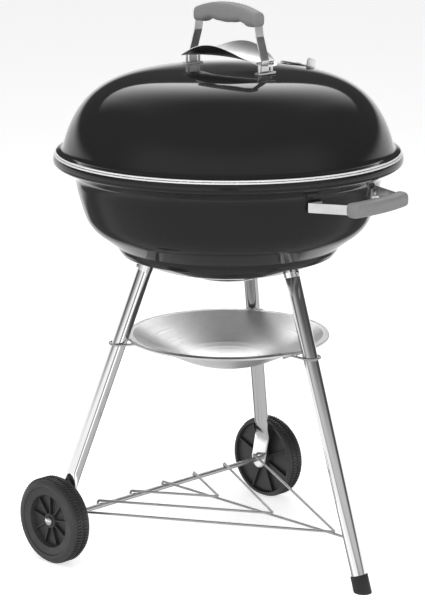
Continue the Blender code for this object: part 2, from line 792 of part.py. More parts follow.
def make_bowl_damper():
    hub = bpy.data.objects.new("bowl_damper_axis", None)
    PARTS.objects.link(hub)
    hub.parent = ROOT
    hub.location = (0, 0, BOTTOM_HEIGHT)
    high = -GAP
    low = high - DAMPER_SHEET
    bm = bmesh.new()
    add_cylinder(bm, Matrix(), BOWL_DAMPER_RADIUS, low, high, 32)
    disc = add_object("bowl_damper", mesh_from(bm, "bowl_damper"), ALUMINIUM, parent=hub)
    join_box(disc, Matrix(), (-0.007, 0.045, low + 0.0001), (0.007, 0.082, high - 0.0001))
    join_box(disc, Matrix(), (-0.0065, 0.0804, low - 0.007), (0.0065, 0.0818, high - 0.0004))
    holes = bmesh.new()
    for vent in vent_frames(Matrix(), BOWL_VENT_CIRCLE):
        add_cylinder(holes, vent, BOWL_VENT_RADIUS, -0.01, 0.01, 12)
    add_cylinder(holes, Matrix(), RIVET_RADIUS + GAP, -0.01, 0.01, 12)
    boolean(disc, add_object("bowl_damper_holes", mesh_from(holes, "holes"), parent=hub))
    below = along((0, 0, BOTTOM_HEIGHT + low - GAP), (0, 0, -1))
    length = DAMPER_SHEET + SHEET + 0.0030
    dome_head(below, RIVET_HEAD_RADIUS, 0.0025, RIVET_RADIUS, length, "bowl_damper_rivet", ZINC)


def bowl_handle_path():
    radius = bowl_strap_radius()
    flange_tip = BOWL_BOLT_SPREAD - 0.012
    points = []
    for step in range(4):
        spread = flange_tip + (BOWL_HANDLE_SPREAD - flange_tip) * step / 3
        points.append((-spread, math.sqrt(radius**2 - spread**2), 0))
    corner = (-BOWL_HANDLE_BAR_SPREAD - 0.006, BOWL_HANDLE_REACH, 0)
    half = rounded([*points, corner, (0, bar_reach(0), 0)], 0.006, 2)[:-1]
    bar = [(-BOWL_HANDLE_BAR_SPREAD * s, bar_reach(BOWL_HANDLE_BAR_SPREAD * s), 0) for s in (0.7, 0.35)]
    left = [tuple(point) for point in half] + bar
    right = [(-x, y, 0) for x, y, _ in reversed(left)]
    return left + [(0, bar_reach(0), 0)] + right


def bar_reach(x):
    return BOWL_HANDLE_REACH + BOWL_HANDLE_BOW * (1 - (2 * x / BOWL_GRIP_LENGTH) ** 2)


def make_bowl_handle():
    frame = bowl_handle_frame()
    path = bowl_handle_path()
    strap = flat_bar("bowl_handle_strap", path, BOWL_STRAP_HEIGHT, BOWL_STRAP_THICKNESS, CHROME, frame)
    bm = bmesh.new()
    for bolt in bowl_bolt_frames():
        add_cylinder(bm, bolt, BOLT_RADIUS + GAP, -0.02, 0.01, 12)
    boolean(strap, add_object("bowl_strap_holes", mesh_from(bm, "bowl_strap_holes")))

    rings = []
    for share in (-1, -0.95, -0.8, -0.5, 0, 0.5, 0.8, 0.95, 1):
        x = share * BOWL_GRIP_LENGTH / 2
        shrink = 0.72 if abs(share) == 1 else 1.0
        ring = squircle(BOWL_GRIP_THICKNESS / 2 * shrink, BOWL_GRIP_HEIGHT / 2 * shrink, 3.0, 12)
        rings.append([frame @ Vector((x, bar_reach(x) + y, z)) for y, z in ring])
    grip = loft("bowl_handle_grip", rings, GRIP_PLASTIC)
    room = flat_bar(
        "bowl_grip_room",
        path,
        BOWL_STRAP_HEIGHT + 2 * GAP,
        BOWL_STRAP_THICKNESS + 2 * GAP,
        None,
        frame,
    )
    boolean(grip, room)

    wall = bowl_strap_radius() - BOWL_STRAP_THICKNESS / 2
    inside = radius_at(BOWL_OUTSIDE[5:], BOWL_HANDLE_HEIGHT - NUT_RADIUS) - SHEET
    for index, bolt in enumerate(bowl_bolt_frames(), 1):
        depth = wall + BOWL_STRAP_THICKNESS + GAP - inside
        length = depth + NUT_HEIGHT + 0.0025
        dome_head(bolt, BOLT_HEAD_RADIUS, 0.0030, BOLT_RADIUS, length, f"bowl_handle_bolt_{index}", ZINC, 10)
        inward = bolt @ Matrix.Translation((0, 0, -depth - 0.0009)) @ Matrix.Rotation(math.pi, 4, "X")
        nut(f"bowl_handle_nut_{index}", inward)


# ---- Grates ----------------------------------------------------------------------------------------


def make_grate(name, radius, height, pitch, cross_places, cross_axis_turn=0.0):
    """A ring of wire with parallel rods and cross rods below them, all welded."""
    turn = Matrix.Rotation(cross_axis_turn, 4, "Z")
    half_ring = RING_WIRE / 2
    circle = [
        (radius - half_ring + half_ring * math.cos(a), half_ring * math.sin(a))
        for a in (math.pi / 6 * k * 2 + math.pi / 6 for k in range(6, 0, -1))
    ]
    ring = turned(name, circle, GRATE_STEEL, steps=TURN_STEPS, closed=True)
    ring.location = (0, 0, height)
    rods = bmesh.new()
    count = int((radius - RING_WIRE) / pitch)
    for index in range(-count, count + 1):
        y = index * pitch
        half = math.sqrt((radius - half_ring) ** 2 - y * y)
        frame = along((0, y, height + 0.0004), (1, 0, 0), across=(0, 0, 1))
        add_cylinder(rods, turn @ frame, ROD_WIRE / 2, -half, half, 6)
    boolean(ring, add_object(name + "_rods", mesh_from(rods, "rods")), "UNION")
    crossing = bmesh.new()
    for x in cross_places:
        half = math.sqrt((radius - half_ring) ** 2 - x * x)
        frame = along((x, 0, height + 0.0004 - ROD_WIRE * 0.8), (0, 1, 0), across=(0, 0, 1))
        add_cylinder(crossing, turn @ frame, ROD_WIRE / 2, -half, half, 6)
    boolean(ring, add_object(name + "_cross", mesh_from(crossing, "cross")), "UNION")
    return ring


def cooking_grate_radius():
    inside = radius_at(BOWL_OUTSIDE[5:], COOKING_GRATE_HEIGHT - RING_WIRE / 2) - SHEET
    return inside - COOKING_GRATE_CLEARANCE


def charcoal_grate_height():
    """The ring's middle, where it rests on the bowl's shoulder."""
    edge = [point for point in BOWL_OUTSIDE[5:] if point[0] < CHARCOAL_GRATE_RADIUS + 0.03]
    height = BOWL_SHOULDER_HEIGHT
    for (r_out, z_high), (r_in, z_low) in zip(edge, edge[1:]):
        if r_in <= CHARCOAL_GRATE_RADIUS <= r_out:
            share = (CHARCOAL_GRATE_RADIUS - r_in) / (r_out - r_in)
            height = z_low + share * (z_high - z_low)
    return height + SHEET * 1.3 + GAP + RING_WIRE / 2 + 0.0006


def make_supports():
    """Bent tabs inside the bowl that carry the cooking grate."""
    top = COOKING_GRATE_HEIGHT - RING_WIRE / 2 - GAP
    back = radius_at(BOWL_OUTSIDE[5:], top - 0.016) - SHEET - 0.0018
    reach = cooking_grate_radius() - 0.012
    for index in range(SUPPORT_COUNT):
        angle = math.radians(30 + 360 * index / SUPPORT_COUNT)
        turn = Matrix.Rotation(angle, 4, "Z")
        path = [(reach, top - 0.0010, 0), (back, top - 0.0010, 0), (back - 0.0012, top - 0.0160, 0)]
        frame = turn @ Matrix(((1, 0, 0, 0), (0, 0, -1, 0), (0, 1, 0, 0), (0, 0, 0, 1)))
        flat_bar(f"grate_support_{index + 1}", rounded(path, 0.003, 2), 0.016, 0.0018, ENAMEL, frame)


# ---- Legs ------------------------------------------------------------------------------------------


def front_leg_point(height):
    lean = (FRONT_LEG_REACH_GROUND - FRONT_LEG_REACH_TOP) / LEG_REFERENCE_HEIGHT
    return Vector((0, -(FRONT_LEG_REACH_TOP + (LEG_REFERENCE_HEIGHT - height) * lean), height))


TONGUE_X = WHEEL_CENTRE_X - HUB_INNER_REACH - WHEEL_SIDE_CLEARANCE - TONGUE_THICKNESS / 2


def rear_leg_point(side, height):
    top = Vector(
        (
            side * REAR_LEG_REACH_TOP * math.cos(REAR_LEG_ANGLE),
            REAR_LEG_REACH_TOP * math.sin(REAR_LEG_ANGLE),
            LEG_REFERENCE_HEIGHT,
        )
    )
    bend = Vector((side * TONGUE_X, REAR_LEG_BEND_Y, REAR_LEG_BEND_HEIGHT))
    share = (LEG_REFERENCE_HEIGHT - height) / (LEG_REFERENCE_HEIGHT - REAR_LEG_BEND_HEIGHT)
    return top + (bend - top) * share


def leg_point(leg, height):
    if leg == "front":
        return front_leg_point(height)
    return rear_leg_point(-1 if leg == "left" else 1, height)


def leg_top(leg):
    """On the leg's axis where its tube ends, with Z up along it and X pointing away from the kettle."""
    return leg_frame(leg, FRONT_LEG_TOP_HEIGHT if leg == "front" else REAR_LEG_TOP_HEIGHT)


def leg_frame(leg, height):
    """On the leg's axis, with Z up along it and X pointing away from the kettle."""
    here = leg_point(leg, height)
    above = leg_point(leg, height + 0.1)
    return along(here, above - here, across=(here.x, here.y, 0))


def make_front_leg():
    top = leg_top("front")
    length = (top.translation - front_leg_point(LEG_END_HEIGHT)).length
    leg = cylinder("leg_front", top, TUBE_RADIUS, -length, 0, CHROME, 20)
    boolean(leg, cylinder("leg_front_bore", top, TUBE_RADIUS - TUBE_WALL, -length - 0.01, 0.01, sides=20))
    entry = along(front_leg_point(RACK_LEG_HEIGHT), (0, 1, 0), across=(1, 0, 0))
    boolean(leg, cylinder("rack_hole", entry, RACK_WIRE / 2 + 2 * GAP, 0.0, 0.03, sides=12))

    ground_share = CAP_WALL + TUBE_RADIUS
    base = leg_frame("front", LEG_END_HEIGHT)
    cap = cylinder("foot_cap", base, ground_share, -0.025, CAP_HEIGHT - 0.008, CAP_PLASTIC, 20)
    boolean(cap, cylinder("foot_cap_room", base, TUBE_RADIUS + GAP, -GAP, 0.05, sides=20))
    bm = bmesh.new()
    add_box(bm, Matrix(), (-0.1, -0.5, -0.1), (0.1, 0.0, 0.0))
    boolean(cap, add_object("ground", mesh_from(bm, "ground")))


def make_rear_leg(leg):
    side = -1 if leg == "left" else 1
    tube = leg_top(leg)
    down = -(tube.to_3x3() @ Vector((0, 0, 1)))
    flat = Vector((side, 0, 0))
    tube_a = (flat - down * flat.dot(down)).normalized()
    tube_b = down.cross(tube_a)
    bend = leg_point(leg, REAR_LEG_BEND_HEIGHT)
    axle = Vector((bend.x, AXLE_Y, WHEEL_RADIUS))
    tongue_down = (axle - bend).normalized()
    tongue_b = tongue_down.cross(flat)
    half = TONGUE_WIDTH / 2
    thin = TONGUE_THICKNESS / 2

    def ring(centre, a, b, half_a, half_b, power):
        return [centre + a * u + b * v for u, v in squircle(half_a, half_b, power, 16)]

    rings = [ring(tube.translation, tube_a, tube_b, TUBE_RADIUS, TUBE_RADIUS, 2)]
    for height, squeeze, spread in ((0.152, 1.0, 1.0), (0.141, 0.86, 1.07), (0.131, 0.52, 1.22)):
        centre = leg_point(leg, height)
        rings.append(ring(centre, tube_a, tube_b, TUBE_RADIUS * squeeze, TUBE_RADIUS * spread, 2))
    rings.append(ring(bend, flat, tongue_b, thin * 1.35, half * 0.97, 2.6))
    for share in (0.25, 0.6, 1.0):
        centre = bend + (axle - bend) * share
        rings.append(ring(centre, flat, tongue_b, thin, half, 5))
    for degrees in (30, 55, 75):
        angle = math.radians(degrees)
        centre = axle + tongue_down * half * math.sin(angle)
        rings.append(ring(centre, flat, tongue_b, thin, half * math.cos(angle), 5))
    made = loft(f"leg_{leg}", rings, CHROME)
    bore_depth = (tube.translation - leg_point(leg, 0.160)).length
    boolean(made, cylinder(f"leg_{leg}_bore", tube, TUBE_RADIUS - TUBE_WALL, -bore_depth, 0.01, sides=16))
    hole = along(axle, (1, 0, 0), across=(0, 1, 0))
    boolean(made, cylinder(f"leg_{leg}_axle_hole", hole, AXLE_RADIUS + GAP, -0.02, 0.02, sides=16))


def make_socket(leg, blank):
    frame = leg_top(leg)
    stub = cylinder(
        f"leg_socket_{leg}",
        frame,
        TUBE_RADIUS - TUBE_WALL - GAP,
        -SOCKET_STUB_LENGTH,
        SOCKET_COLLAR_LENGTH,
        CHROME,
        20,
    )
    collar = bmesh.new()
    top = SOCKET_COLLAR_LENGTH - 0.001
    add_cylinder(collar, frame, SOCKET_COLLAR_RADIUS, GAP, top, 20, SOCKET_COLLAR_TOP_RADIUS)
    boolean(stub, add_object(f"socket_collar_{leg}", mesh_from(collar, "collar")), "UNION")
    boolean(stub, blank)
    head = frame @ Matrix.Translation((0, 0, SOCKET_SCREW_HEIGHT)) @ Matrix.Rotation(math.pi / 2, 4, "Y")
    depth = 0.0100
    seat = SOCKET_COLLAR_RADIUS + 0.0012
    boolean(stub, cylinder(f"socket_hole_{leg}", head, 0.0020 + GAP, seat - depth - 0.0005, 0.03, sides=10))
    outside = head @ Matrix.Translation((0, 0, seat))
    dome_head(outside, 0.0034, 0.0022, 0.0020, depth, f"socket_screw_{leg}", ZINC, 10)


# ---- Wheels, axle and rack -------------------------------------------------------------------------


def wheel_profile():
    """(radius, distance along the axle) with the outer side up, round the whole section."""
    top = WHEEL_WIDTH / 2
    r = WHEEL_RADIUS
    bore = AXLE_RADIUS + AXLE_RUNNING_GAP
    return [
        (r * 0.860, top),
        (r * 0.945, top - 0.0020),
        (r * 0.988, top - 0.0065),
        (r, top - 0.0110),
        (r, -top + 0.0100),
        (r * 0.985, -top + 0.0040),
        (r * 0.945, -top),
        (r * 0.880, -top),
        (r * 0.860, -top + 0.0080),
        (0.0165, -top + 0.0080),
        (0.0140, -HUB_INNER_REACH),
        (bore, -HUB_INNER_REACH),
        (bore, HUB_OUTER_REACH),
        (0.0125, HUB_OUTER_REACH),
        (0.0145, top - 0.0145),
        (r * 0.570, top - 0.0145),
        (r * 0.610, top - 0.0035),
        (r * 0.780, top - 0.0020),
        (r * 0.800, top),
    ]


def make_wheels():
    for name, side in (("left", -1), ("right", 1)):
        hub = bpy.data.objects.new(f"wheel_axis_{name}", None)
        PARTS.objects.link(hub)
        hub.parent = ROOT
        hub.location = (side * WHEEL_CENTRE_X, AXLE_Y, WHEEL_RADIUS)
        outer = along((0, 0, 0), (side, 0, 0), across=(0, 0, 1))
        wheel = turned(f"wheel_{name}", wheel_profile(), WHEEL_PLASTIC, WHEEL_STEPS, closed=True)
        wheel.parent = hub
        wheel.matrix_local = outer
        cap_at = hub.location + Vector((side * (HUB_OUTER_REACH + GAP + 0.0002), 0, 0))
        frame = along(cap_at, (side, 0, 0), across=(0, 0, 1))
        room = AXLE_RADIUS + GAP
        cap = [
            (0, 0.0055),
            (0.0045, 0.0050),
            (0.0075, 0.0036),
            (0.0085, 0.0016),
            (0.0085, 0),
            (room, 0),
            (room, 0.0034),
            (0, 0.0034),
        ]
        turned(f"hub_cap_{name}", cap, ZINC, 16, frame=frame)
    half = WHEEL_CENTRE_X + HUB_OUTER_REACH + 0.0032
    axle = along((0, AXLE_Y, WHEEL_RADIUS), (1, 0, 0), across=(0, 0, 1))
    cylinder("axle", axle, AXLE_RADIUS, -half, half, WIRE_STEEL, 16)


def make_rack():
    rest = WHEEL_RADIUS + AXLE_RADIUS + GAP + RACK_WIRE / 2
    stop = front_leg_point(RACK_LEG_HEIGHT) + Vector((0, 0.004, 0))
    start = Vector((0, AXLE_Y, rest + 0.0004))

    def centre_height(y):
        return start.z + (stop.z - start.z) * (start.y - y) / (start.y - stop.y)

    def hook(at):
        """Down behind the axle, then over it."""
        return [at + Vector((0, 0.0080, -0.0090)), at + Vector((0, 0.0080, 0))]

    line = rounded([*hook(start), stop], 0.003, 2)
    rack = wire("wire_rack", line, RACK_WIRE, WIRE_STEEL)
    for index, apex_y in enumerate(RACK_APEXES, 1):
        apex = Vector((0, apex_y, centre_height(apex_y) + RACK_WIRE - RACK_WELD))
        left = Vector((-index * RACK_PITCH, AXLE_Y, rest + 0.0004))
        right = Vector((index * RACK_PITCH, AXLE_Y, rest + 0.0004))
        path = rounded([*hook(left), apex, *reversed(hook(right))], 0.004, 2)
        boolean(rack, wire(f"rack_v_{index}", path, RACK_WIRE), "UNION")


# ---- Ash tray and clips ----------------------------------------------------------------------------


def tray_profile():
    """The underside, from the rolled edge in to the middle."""
    profile = [
        (TRAY_RADIUS - TRAY_SHEET - 0.0006, TRAY_HEIGHT - 0.0042),
        (TRAY_RADIUS - TRAY_SHEET, TRAY_HEIGHT - 0.0028),
        (TRAY_RADIUS - TRAY_SHEET - 0.0008, TRAY_HEIGHT - TRAY_SHEET),
        (TRAY_RADIUS - TRAY_FLANGE, TRAY_HEIGHT - TRAY_SHEET),
        (TRAY_RADIUS - TRAY_FLANGE - 0.0050, TRAY_HEIGHT - TRAY_SHEET - 0.0022),
    ]
    sphere = (TRAY_CREASE_RADIUS**2 + TRAY_DISH_SAG**2) / (2 * TRAY_DISH_SAG)
    bottom = TRAY_HEIGHT - TRAY_CREASE_DEPTH - TRAY_DISH_SAG
    for step in range(5):
        radius = TRAY_CREASE_RADIUS * (1 - step / 4)
        profile.append((radius, bottom + sphere - math.sqrt(sphere**2 - radius**2)))
    return profile


def make_clip(leg):
    """A hairpin round the leg whose arms run in under the tray's flange and follow its wall."""
    arm_height = TRAY_HEIGHT - 0.0042 - GAP - CLIP_WIRE / 2 - 0.0004
    centre = leg_point(leg, arm_height)
    reach = math.hypot(centre.x, centre.y)
    outward_axis = Vector((centre.x, centre.y, 0)).normalized()
    side_axis = Vector((-outward_axis.y, outward_axis.x, 0))
    wall_start = TRAY_RADIUS - TRAY_FLANGE
    slope = (TRAY_CREASE_DEPTH - TRAY_SHEET) / (wall_start - TRAY_CREASE_RADIUS)
    tip_height = arm_height - (wall_start - CLIP_TIP_REACH) * slope + 0.0008

    def place(radial, sideways, height):
        return outward_axis * radial + side_axis * sideways + Vector((0, 0, height))

    half = CLIP_LOOP_RADIUS
    path = [
        place(CLIP_TIP_REACH, half - 0.001, tip_height),
        place(wall_start - 0.001, half - 0.0005, arm_height),
        place(reach, half, arm_height),
    ]
    for step in range(1, 8):
        angle = math.pi * step / 8
        path.append(place(reach + half * math.sin(angle), half * math.cos(angle), arm_height))
    path += [
        place(reach, -half, arm_height),
        place(wall_start - 0.001, -half + 0.0005, arm_height),
        place(CLIP_TIP_REACH, -half + 0.001, tip_height),
    ]
    wire(f"tray_clip_{leg}", path, CLIP_WIRE, WIRE_STEEL)


# ---- Assembly --------------------------------------------------------------------------------------

make_lid()
make_lid_hook()
make_lid_handle()
make_lid_fasteners()
make_lid_damper()
make_bowl()
make_bowl_damper()
make_bowl_handle()
make_supports()
make_grate("cooking_grate", cooking_grate_radius(), COOKING_GRATE_HEIGHT, COOKING_ROD_PITCH, (-0.12, 0.12))
make_grate(
    "charcoal_grate",
    CHARCOAL_GRATE_RADIUS,
    charcoal_grate_height(),
    CHARCOAL_ROD_PITCH,
    (-0.09, 0.09),
    math.radians(90),
)
make_front_leg()
for wheel_leg in ("left", "right"):
    make_rear_leg(wheel_leg)
SOCKET_CUTTER = bowl_blank("bowl_blank", GAP)
for each_leg in ("front", "left", "right"):
    make_socket(each_leg, SOCKET_CUTTER)
    make_clip(each_leg)
turned("ash_tray", tray_profile(), TRAY_STEEL, sheet=TRAY_SHEET)
make_wheels()
make_rack()

# The kettle's axis stands behind the origin, which is under the middle of the bounding box.
ROOT.location = (0, KETTLE_SETBACK, 0)
bpy.context.view_layer.update()
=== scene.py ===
"""The looks of a kettle charcoal grill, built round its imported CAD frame.

Metres, +Z up. Shapes are laid out round the kettle's vertical axis and then set back by KETTLE_Y, as
the CAD is. Each piece rides on its CAD body and stands for the CAD node of the same name.
"""

import json
import math

import bmesh
import bpy
from mathutils import Matrix, Vector

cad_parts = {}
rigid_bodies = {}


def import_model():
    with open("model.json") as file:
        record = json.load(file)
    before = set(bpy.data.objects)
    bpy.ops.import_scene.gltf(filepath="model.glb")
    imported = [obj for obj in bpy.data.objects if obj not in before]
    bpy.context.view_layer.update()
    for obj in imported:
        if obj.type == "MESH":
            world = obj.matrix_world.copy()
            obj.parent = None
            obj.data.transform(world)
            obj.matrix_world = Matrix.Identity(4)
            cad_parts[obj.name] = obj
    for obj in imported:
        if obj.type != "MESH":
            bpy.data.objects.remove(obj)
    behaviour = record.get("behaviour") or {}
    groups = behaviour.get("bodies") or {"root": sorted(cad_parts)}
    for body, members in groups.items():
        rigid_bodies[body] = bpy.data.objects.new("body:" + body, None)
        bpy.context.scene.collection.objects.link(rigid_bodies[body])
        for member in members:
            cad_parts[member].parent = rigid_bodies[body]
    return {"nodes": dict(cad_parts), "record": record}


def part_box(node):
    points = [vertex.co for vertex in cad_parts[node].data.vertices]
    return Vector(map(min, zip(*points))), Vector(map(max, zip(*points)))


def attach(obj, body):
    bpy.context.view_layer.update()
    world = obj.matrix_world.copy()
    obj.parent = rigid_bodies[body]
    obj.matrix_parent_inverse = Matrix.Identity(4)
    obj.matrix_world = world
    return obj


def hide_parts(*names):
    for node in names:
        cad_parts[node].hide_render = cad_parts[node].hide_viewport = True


for leftover in list(bpy.data.objects):
    bpy.data.objects.remove(leftover, do_unlink=True)

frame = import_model()
SCENE = bpy.context.scene
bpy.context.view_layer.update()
BODY_OF = {node: body for body, nodes in frame["record"]["behaviour"]["bodies"].items() for node in nodes}
SLOT_OF = {row["node"]: row["material_slot"] for row in frame["record"]["subparts"]}

# ---- Sizes, as in the CAD ----

GAP = 0.0003
SHEET = 0.0015
ROUND = 160  # facets round the kettle

LID_LOW, LID_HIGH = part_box("lid")
KETTLE_Y = (LID_LOW.y + LID_HIGH.y) / 2

SEAM_HEIGHT = 0.7005
DOME_HALF_WIDTH = 0.2912
DOME_RISE = 0.4460
DOME_TOP_HEIGHT = 0.8367
DOME_TOP_POWER = 3.831
DOME_SIDE_POWER = 5.094

BOWL_SHOULDER = (0.1885, 0.5425)
BOTTOM_RADIUS = 0.150
BOTTOM_SPHERE = 0.4310
BOTTOM_HEIGHT = 0.4876

TUBE_RADIUS = 0.0125
TUBE_WALL = 0.0012
LEG_DATUM = 0.520  # the height at which each leg's reach is given
FRONT_REACH = 0.1455
FRONT_LEAN = (0.3157 - 0.1455) / LEG_DATUM
REAR_REACH = 0.138
REAR_ANGLE = math.radians(30.6)
LEG_TOPS = {"front": 0.506, "left": 0.500, "right": 0.500}

WHEEL_RADIUS = 0.0745
WHEEL_WIDTH = 0.0357
WHEEL_CENTRE_X = 0.26135
AXLE_RADIUS = 0.0045
AXLE_Y = 0.1565
TONGUE_X = WHEEL_CENTRE_X - 0.0215 - 0.0012 - 0.0018  # the flat end of a rear leg, inside its wheel

TRAY_RADIUS = 0.1722
TRAY_HEIGHT = 0.3846
BOLT_RADIUS = 0.0025

# ---- Materials ----


# Most of a noise texture's values lie between these two.
NOISE_LOW = 0.3
NOISE_HIGH = 0.7
RINGS = "rings"  # in place of a noise: circles round the kettle's axis
BRUSHED = (900.0, 3.0, (1.0, 0.03, 1.0))


class Nodes:
    """Short calls for building a node tree."""

    def __init__(self, owner):
        owner.use_nodes = True
        self.tree = owner.node_tree

    def set(self, node, **values):
        for name, value in values.items():
            node.inputs[name.replace("_", " ")].default_value = value

    def add(self, kind, **values):
        node = self.tree.nodes.new(kind)
        for name, value in values.items():
            setattr(node, name, value)
        return node

    def link(self, output, target):
        self.tree.links.new(output, target)

    def math(self, operation, *values):
        node = self.add("ShaderNodeMath", operation=operation)
        for socket, value in zip(node.inputs, values):
            if isinstance(value, float):
                socket.default_value = value
            else:
                self.link(value, socket)
        return node.outputs[0]


class Shader(Nodes):
    """A node material with a Principled shader."""

    def __init__(self, name, **values):
        self.material = bpy.data.materials.new(name)
        super().__init__(self.material)
        self.main = self.tree.nodes["Principled BSDF"]
        self.set(self.main, **values)
        self.place = self.add("ShaderNodeTexCoord").outputs["Object"]

    def noise(self, scale, detail, stretch=None):
        node = self.add("ShaderNodeTexNoise")
        self.set(node, Scale=scale, Detail=detail)
        source = self.place
        if stretch is not None:
            mapping = self.add("ShaderNodeMapping")
            mapping.inputs["Scale"].default_value = stretch
            self.link(source, mapping.inputs["Vector"])
            source = mapping.outputs["Vector"]
        self.link(source, node.inputs["Vector"])
        return node.outputs["Fac"]

    def rings(self, scale):
        """Fine circles round the kettle's axis, as spinning a disc leaves."""
        split = self.add("ShaderNodeSeparateXYZ")
        self.link(self.place, split.inputs[0])
        squares = []
        for axis, centre in (("X", 0.0), ("Y", KETTLE_Y)):
            away = self.math("SUBTRACT", split.outputs[axis], centre)
            squares.append(self.math("MULTIPLY", away, away))
        noise = self.add("ShaderNodeTexNoise", noise_dimensions="1D")
        self.set(noise, Scale=scale, Detail=4.0)
        self.link(self.math("SQRT", self.math("ADD", *squares)), noise.inputs["W"])
        return noise.outputs["Fac"]

    def colour(self, noise, dark, light):
        """The base colour, between two colours or grey levels."""
        node = self.add("ShaderNodeMix", data_type="RGBA")
        for socket, colour in ((node.inputs[6], dark), (node.inputs[7], light)):
            colour = colour if isinstance(colour, tuple) else (colour, colour, colour)
            socket.default_value = (*colour, 1)
        self.link(noise, node.inputs[0])
        self.link(node.outputs[2], self.main.inputs["Base Color"])

    def rough(self, noise, low, high):
        """The roughness, between two limits."""
        node = self.add("ShaderNodeMapRange")
        self.set(node, From_Min=NOISE_LOW, From_Max=NOISE_HIGH, To_Min=low, To_Max=high)
        self.link(noise, node.inputs["Value"])
        self.link(node.outputs["Result"], self.main.inputs["Roughness"])

    def bump(self, noise, strength, distance):
        """Relief too fine to model."""
        node = self.add("ShaderNodeBump")
        self.set(node, Strength=strength, Distance=distance)
        self.link(noise, node.inputs["Height"])
        self.link(node.outputs["Normal"], self.main.inputs["Normal"])


def material(name, colour, rough=None, bump=None, **values):
    """Each of the three is a noise and its two limits; a noise is (scale, detail) or (RINGS, scale)."""
    made = Shader(name, **values)
    for follow, given in ((made.colour, colour), (made.rough, rough), (made.bump, bump)):
        if given:
            noise, low, high = given
            noise = made.rings(noise[1]) if noise[0] == RINGS else made.noise(*noise)
            follow(noise, low, high)
    return made.material


# One for each slot, and two more: satin for pieces that look otherwise, and edge, a light grey painted
# highlight on the lid's and bowl's rolled rims
MATERIALS = {
    "enamel": material(
        "black_enamel", ((6.0, 4.0), 0.013, 0.016), ((9.0, 3.0), 0.045, 0.075),
        ((160.0, 2.0), 0.05, 0.00012), IOR=1.32,
    ),
    "chrome": material(
        "chromed_steel", ((12.0, 3.0), (0.77, 0.77, 0.775), 0.84), ((35.0, 3.0), 0.05, 0.10),
        ((300.0, 2.0), 0.03, 0.0001), Metallic=1.0,
    ),
    "satin": material(
        "satin_steel", ((30.0, 3.0), (0.68, 0.68, 0.685), 0.76), ((60.0, 3.0), 0.28, 0.38),
        ((500.0, 2.0), 0.04, 0.0001), Metallic=1.0,
    ),
    # edge: light grey paint on the black enamel rims, a painted highlight standing in for the bright lines
    # that light draws along them
    "edge": material(
        "painted_highlight_edge", ((20.0, 3.0), 0.84, 0.92), ((40.0, 3.0), 0.36, 0.48), Metallic=0.35,
    ),
    "tray_steel": material(
        "aluminised_steel", ((70.0, 5.0), 0.70, 0.84), ((RINGS, 260.0), 0.30, 0.42),
        ((RINGS, 420.0), 0.10, 0.0002), Metallic=1.0,
    ),
    "aluminium": material(
        "damper_aluminium", ((40.0, 4.0), 0.70, 0.82), (BRUSHED, 0.22, 0.36), (BRUSHED, 0.08, 0.0002),
        Metallic=1.0,
    ),
    "grip_plastic": material(
        "grey_grip_plastic", ((420.0, 4.0), (0.165, 0.165, 0.167), 0.220), ((60.0, 3.0), 0.42, 0.54),
        ((1400.0, 2.0), 0.18, 0.0003),
    ),
    "wheel_plastic": material(
        "black_wheel_plastic", ((300.0, 4.0), 0.024, 0.038), ((50.0, 3.0), 0.38, 0.52),
        ((1100.0, 2.0), 0.14, 0.0003),
    ),
    "cap_plastic": material(
        "black_cap_plastic", ((300.0, 4.0), 0.012, 0.020), bump=((1200.0, 2.0), 0.15, 0.0003),
        Roughness=0.55,
    ),
    "wire_steel": material(
        "plated_wire", ((90.0, 4.0), 0.56, 0.70), ((150.0, 3.0), 0.34, 0.46),
        ((700.0, 2.0), 0.06, 0.0002), Metallic=1.0,
    ),
    "grate_steel": material(
        "plated_grate_wire", ((70.0, 4.0), 0.54, 0.70), ((120.0, 3.0), 0.20, 0.32), Metallic=1.0,
    ),
    "zinc": material(
        "bright_zinc", ((200.0, 4.0), (0.62, 0.62, 0.63), 0.78), ((250.0, 3.0), 0.15, 0.28), Metallic=1.0,
    ),
}
LOOK_OF = {"lid_handle_strap": "satin", "lid_heat_shield": "satin", "bowl_handle_strap": "satin"}

# ---- Shape tools ----


def along(at, direction, across=(1, 0, 0)):
    """A frame at a point with its Z along a direction and its X as near as can be to another."""
    z = Vector(direction).normalized()
    x = Vector(across)
    x = (x - z * x.dot(z)).normalized()
    y = z.cross(x)
    return Matrix.Translation(Vector(at)) @ Matrix((x, y, z)).transposed().to_4x4()


def rounded(points, radius, pieces=6):
    """A run of straight lines with each inner corner replaced by an arc."""
    size = len(points[0])
    points = [Vector((*point, 0) if size == 2 else point) for point in points]
    made = [points[0]]
    for before, corner, after in zip(points, points[1:], points[2:]):
        back = before - corner
        ahead = after - corner
        turn = math.pi - back.angle(ahead)
        if turn < math.radians(2):
            made.append(corner)
            continue
        cut = min(radius * math.tan(turn / 2), 0.45 * back.length, 0.45 * ahead.length)
        bend = cut / math.tan(turn / 2)
        middle = (back.normalized() + ahead.normalized()).normalized()
        centre = corner + middle * (bend / math.cos(turn / 2))
        start = corner + back.normalized() * cut - centre
        end = corner + ahead.normalized() * cut - centre
        made += [centre + start.slerp(end, step / pieces) * bend for step in range(pieces + 1)]
    made.append(points[-1])
    return [tuple(point[:size]) for point in made]


def smooth(points, pieces=6):
    """A curve through points, as a Catmull-Rom spline."""
    points = [Vector(point) for point in points]
    ends = [2 * points[0] - points[1], *points, 2 * points[-1] - points[-2]]
    made = [points[0]]
    for a, b, c, d in zip(ends, ends[1:], ends[2:], ends[3:]):
        for step in range(1, pieces + 1):
            t = step / pieces
            bend = (2 * a - 5 * b + 4 * c - d) * t**2 + (3 * b - 3 * c + d - a) * t**3
            made.append(0.5 * (2 * b + (c - a) * t + bend))
    return [tuple(point) for point in made]


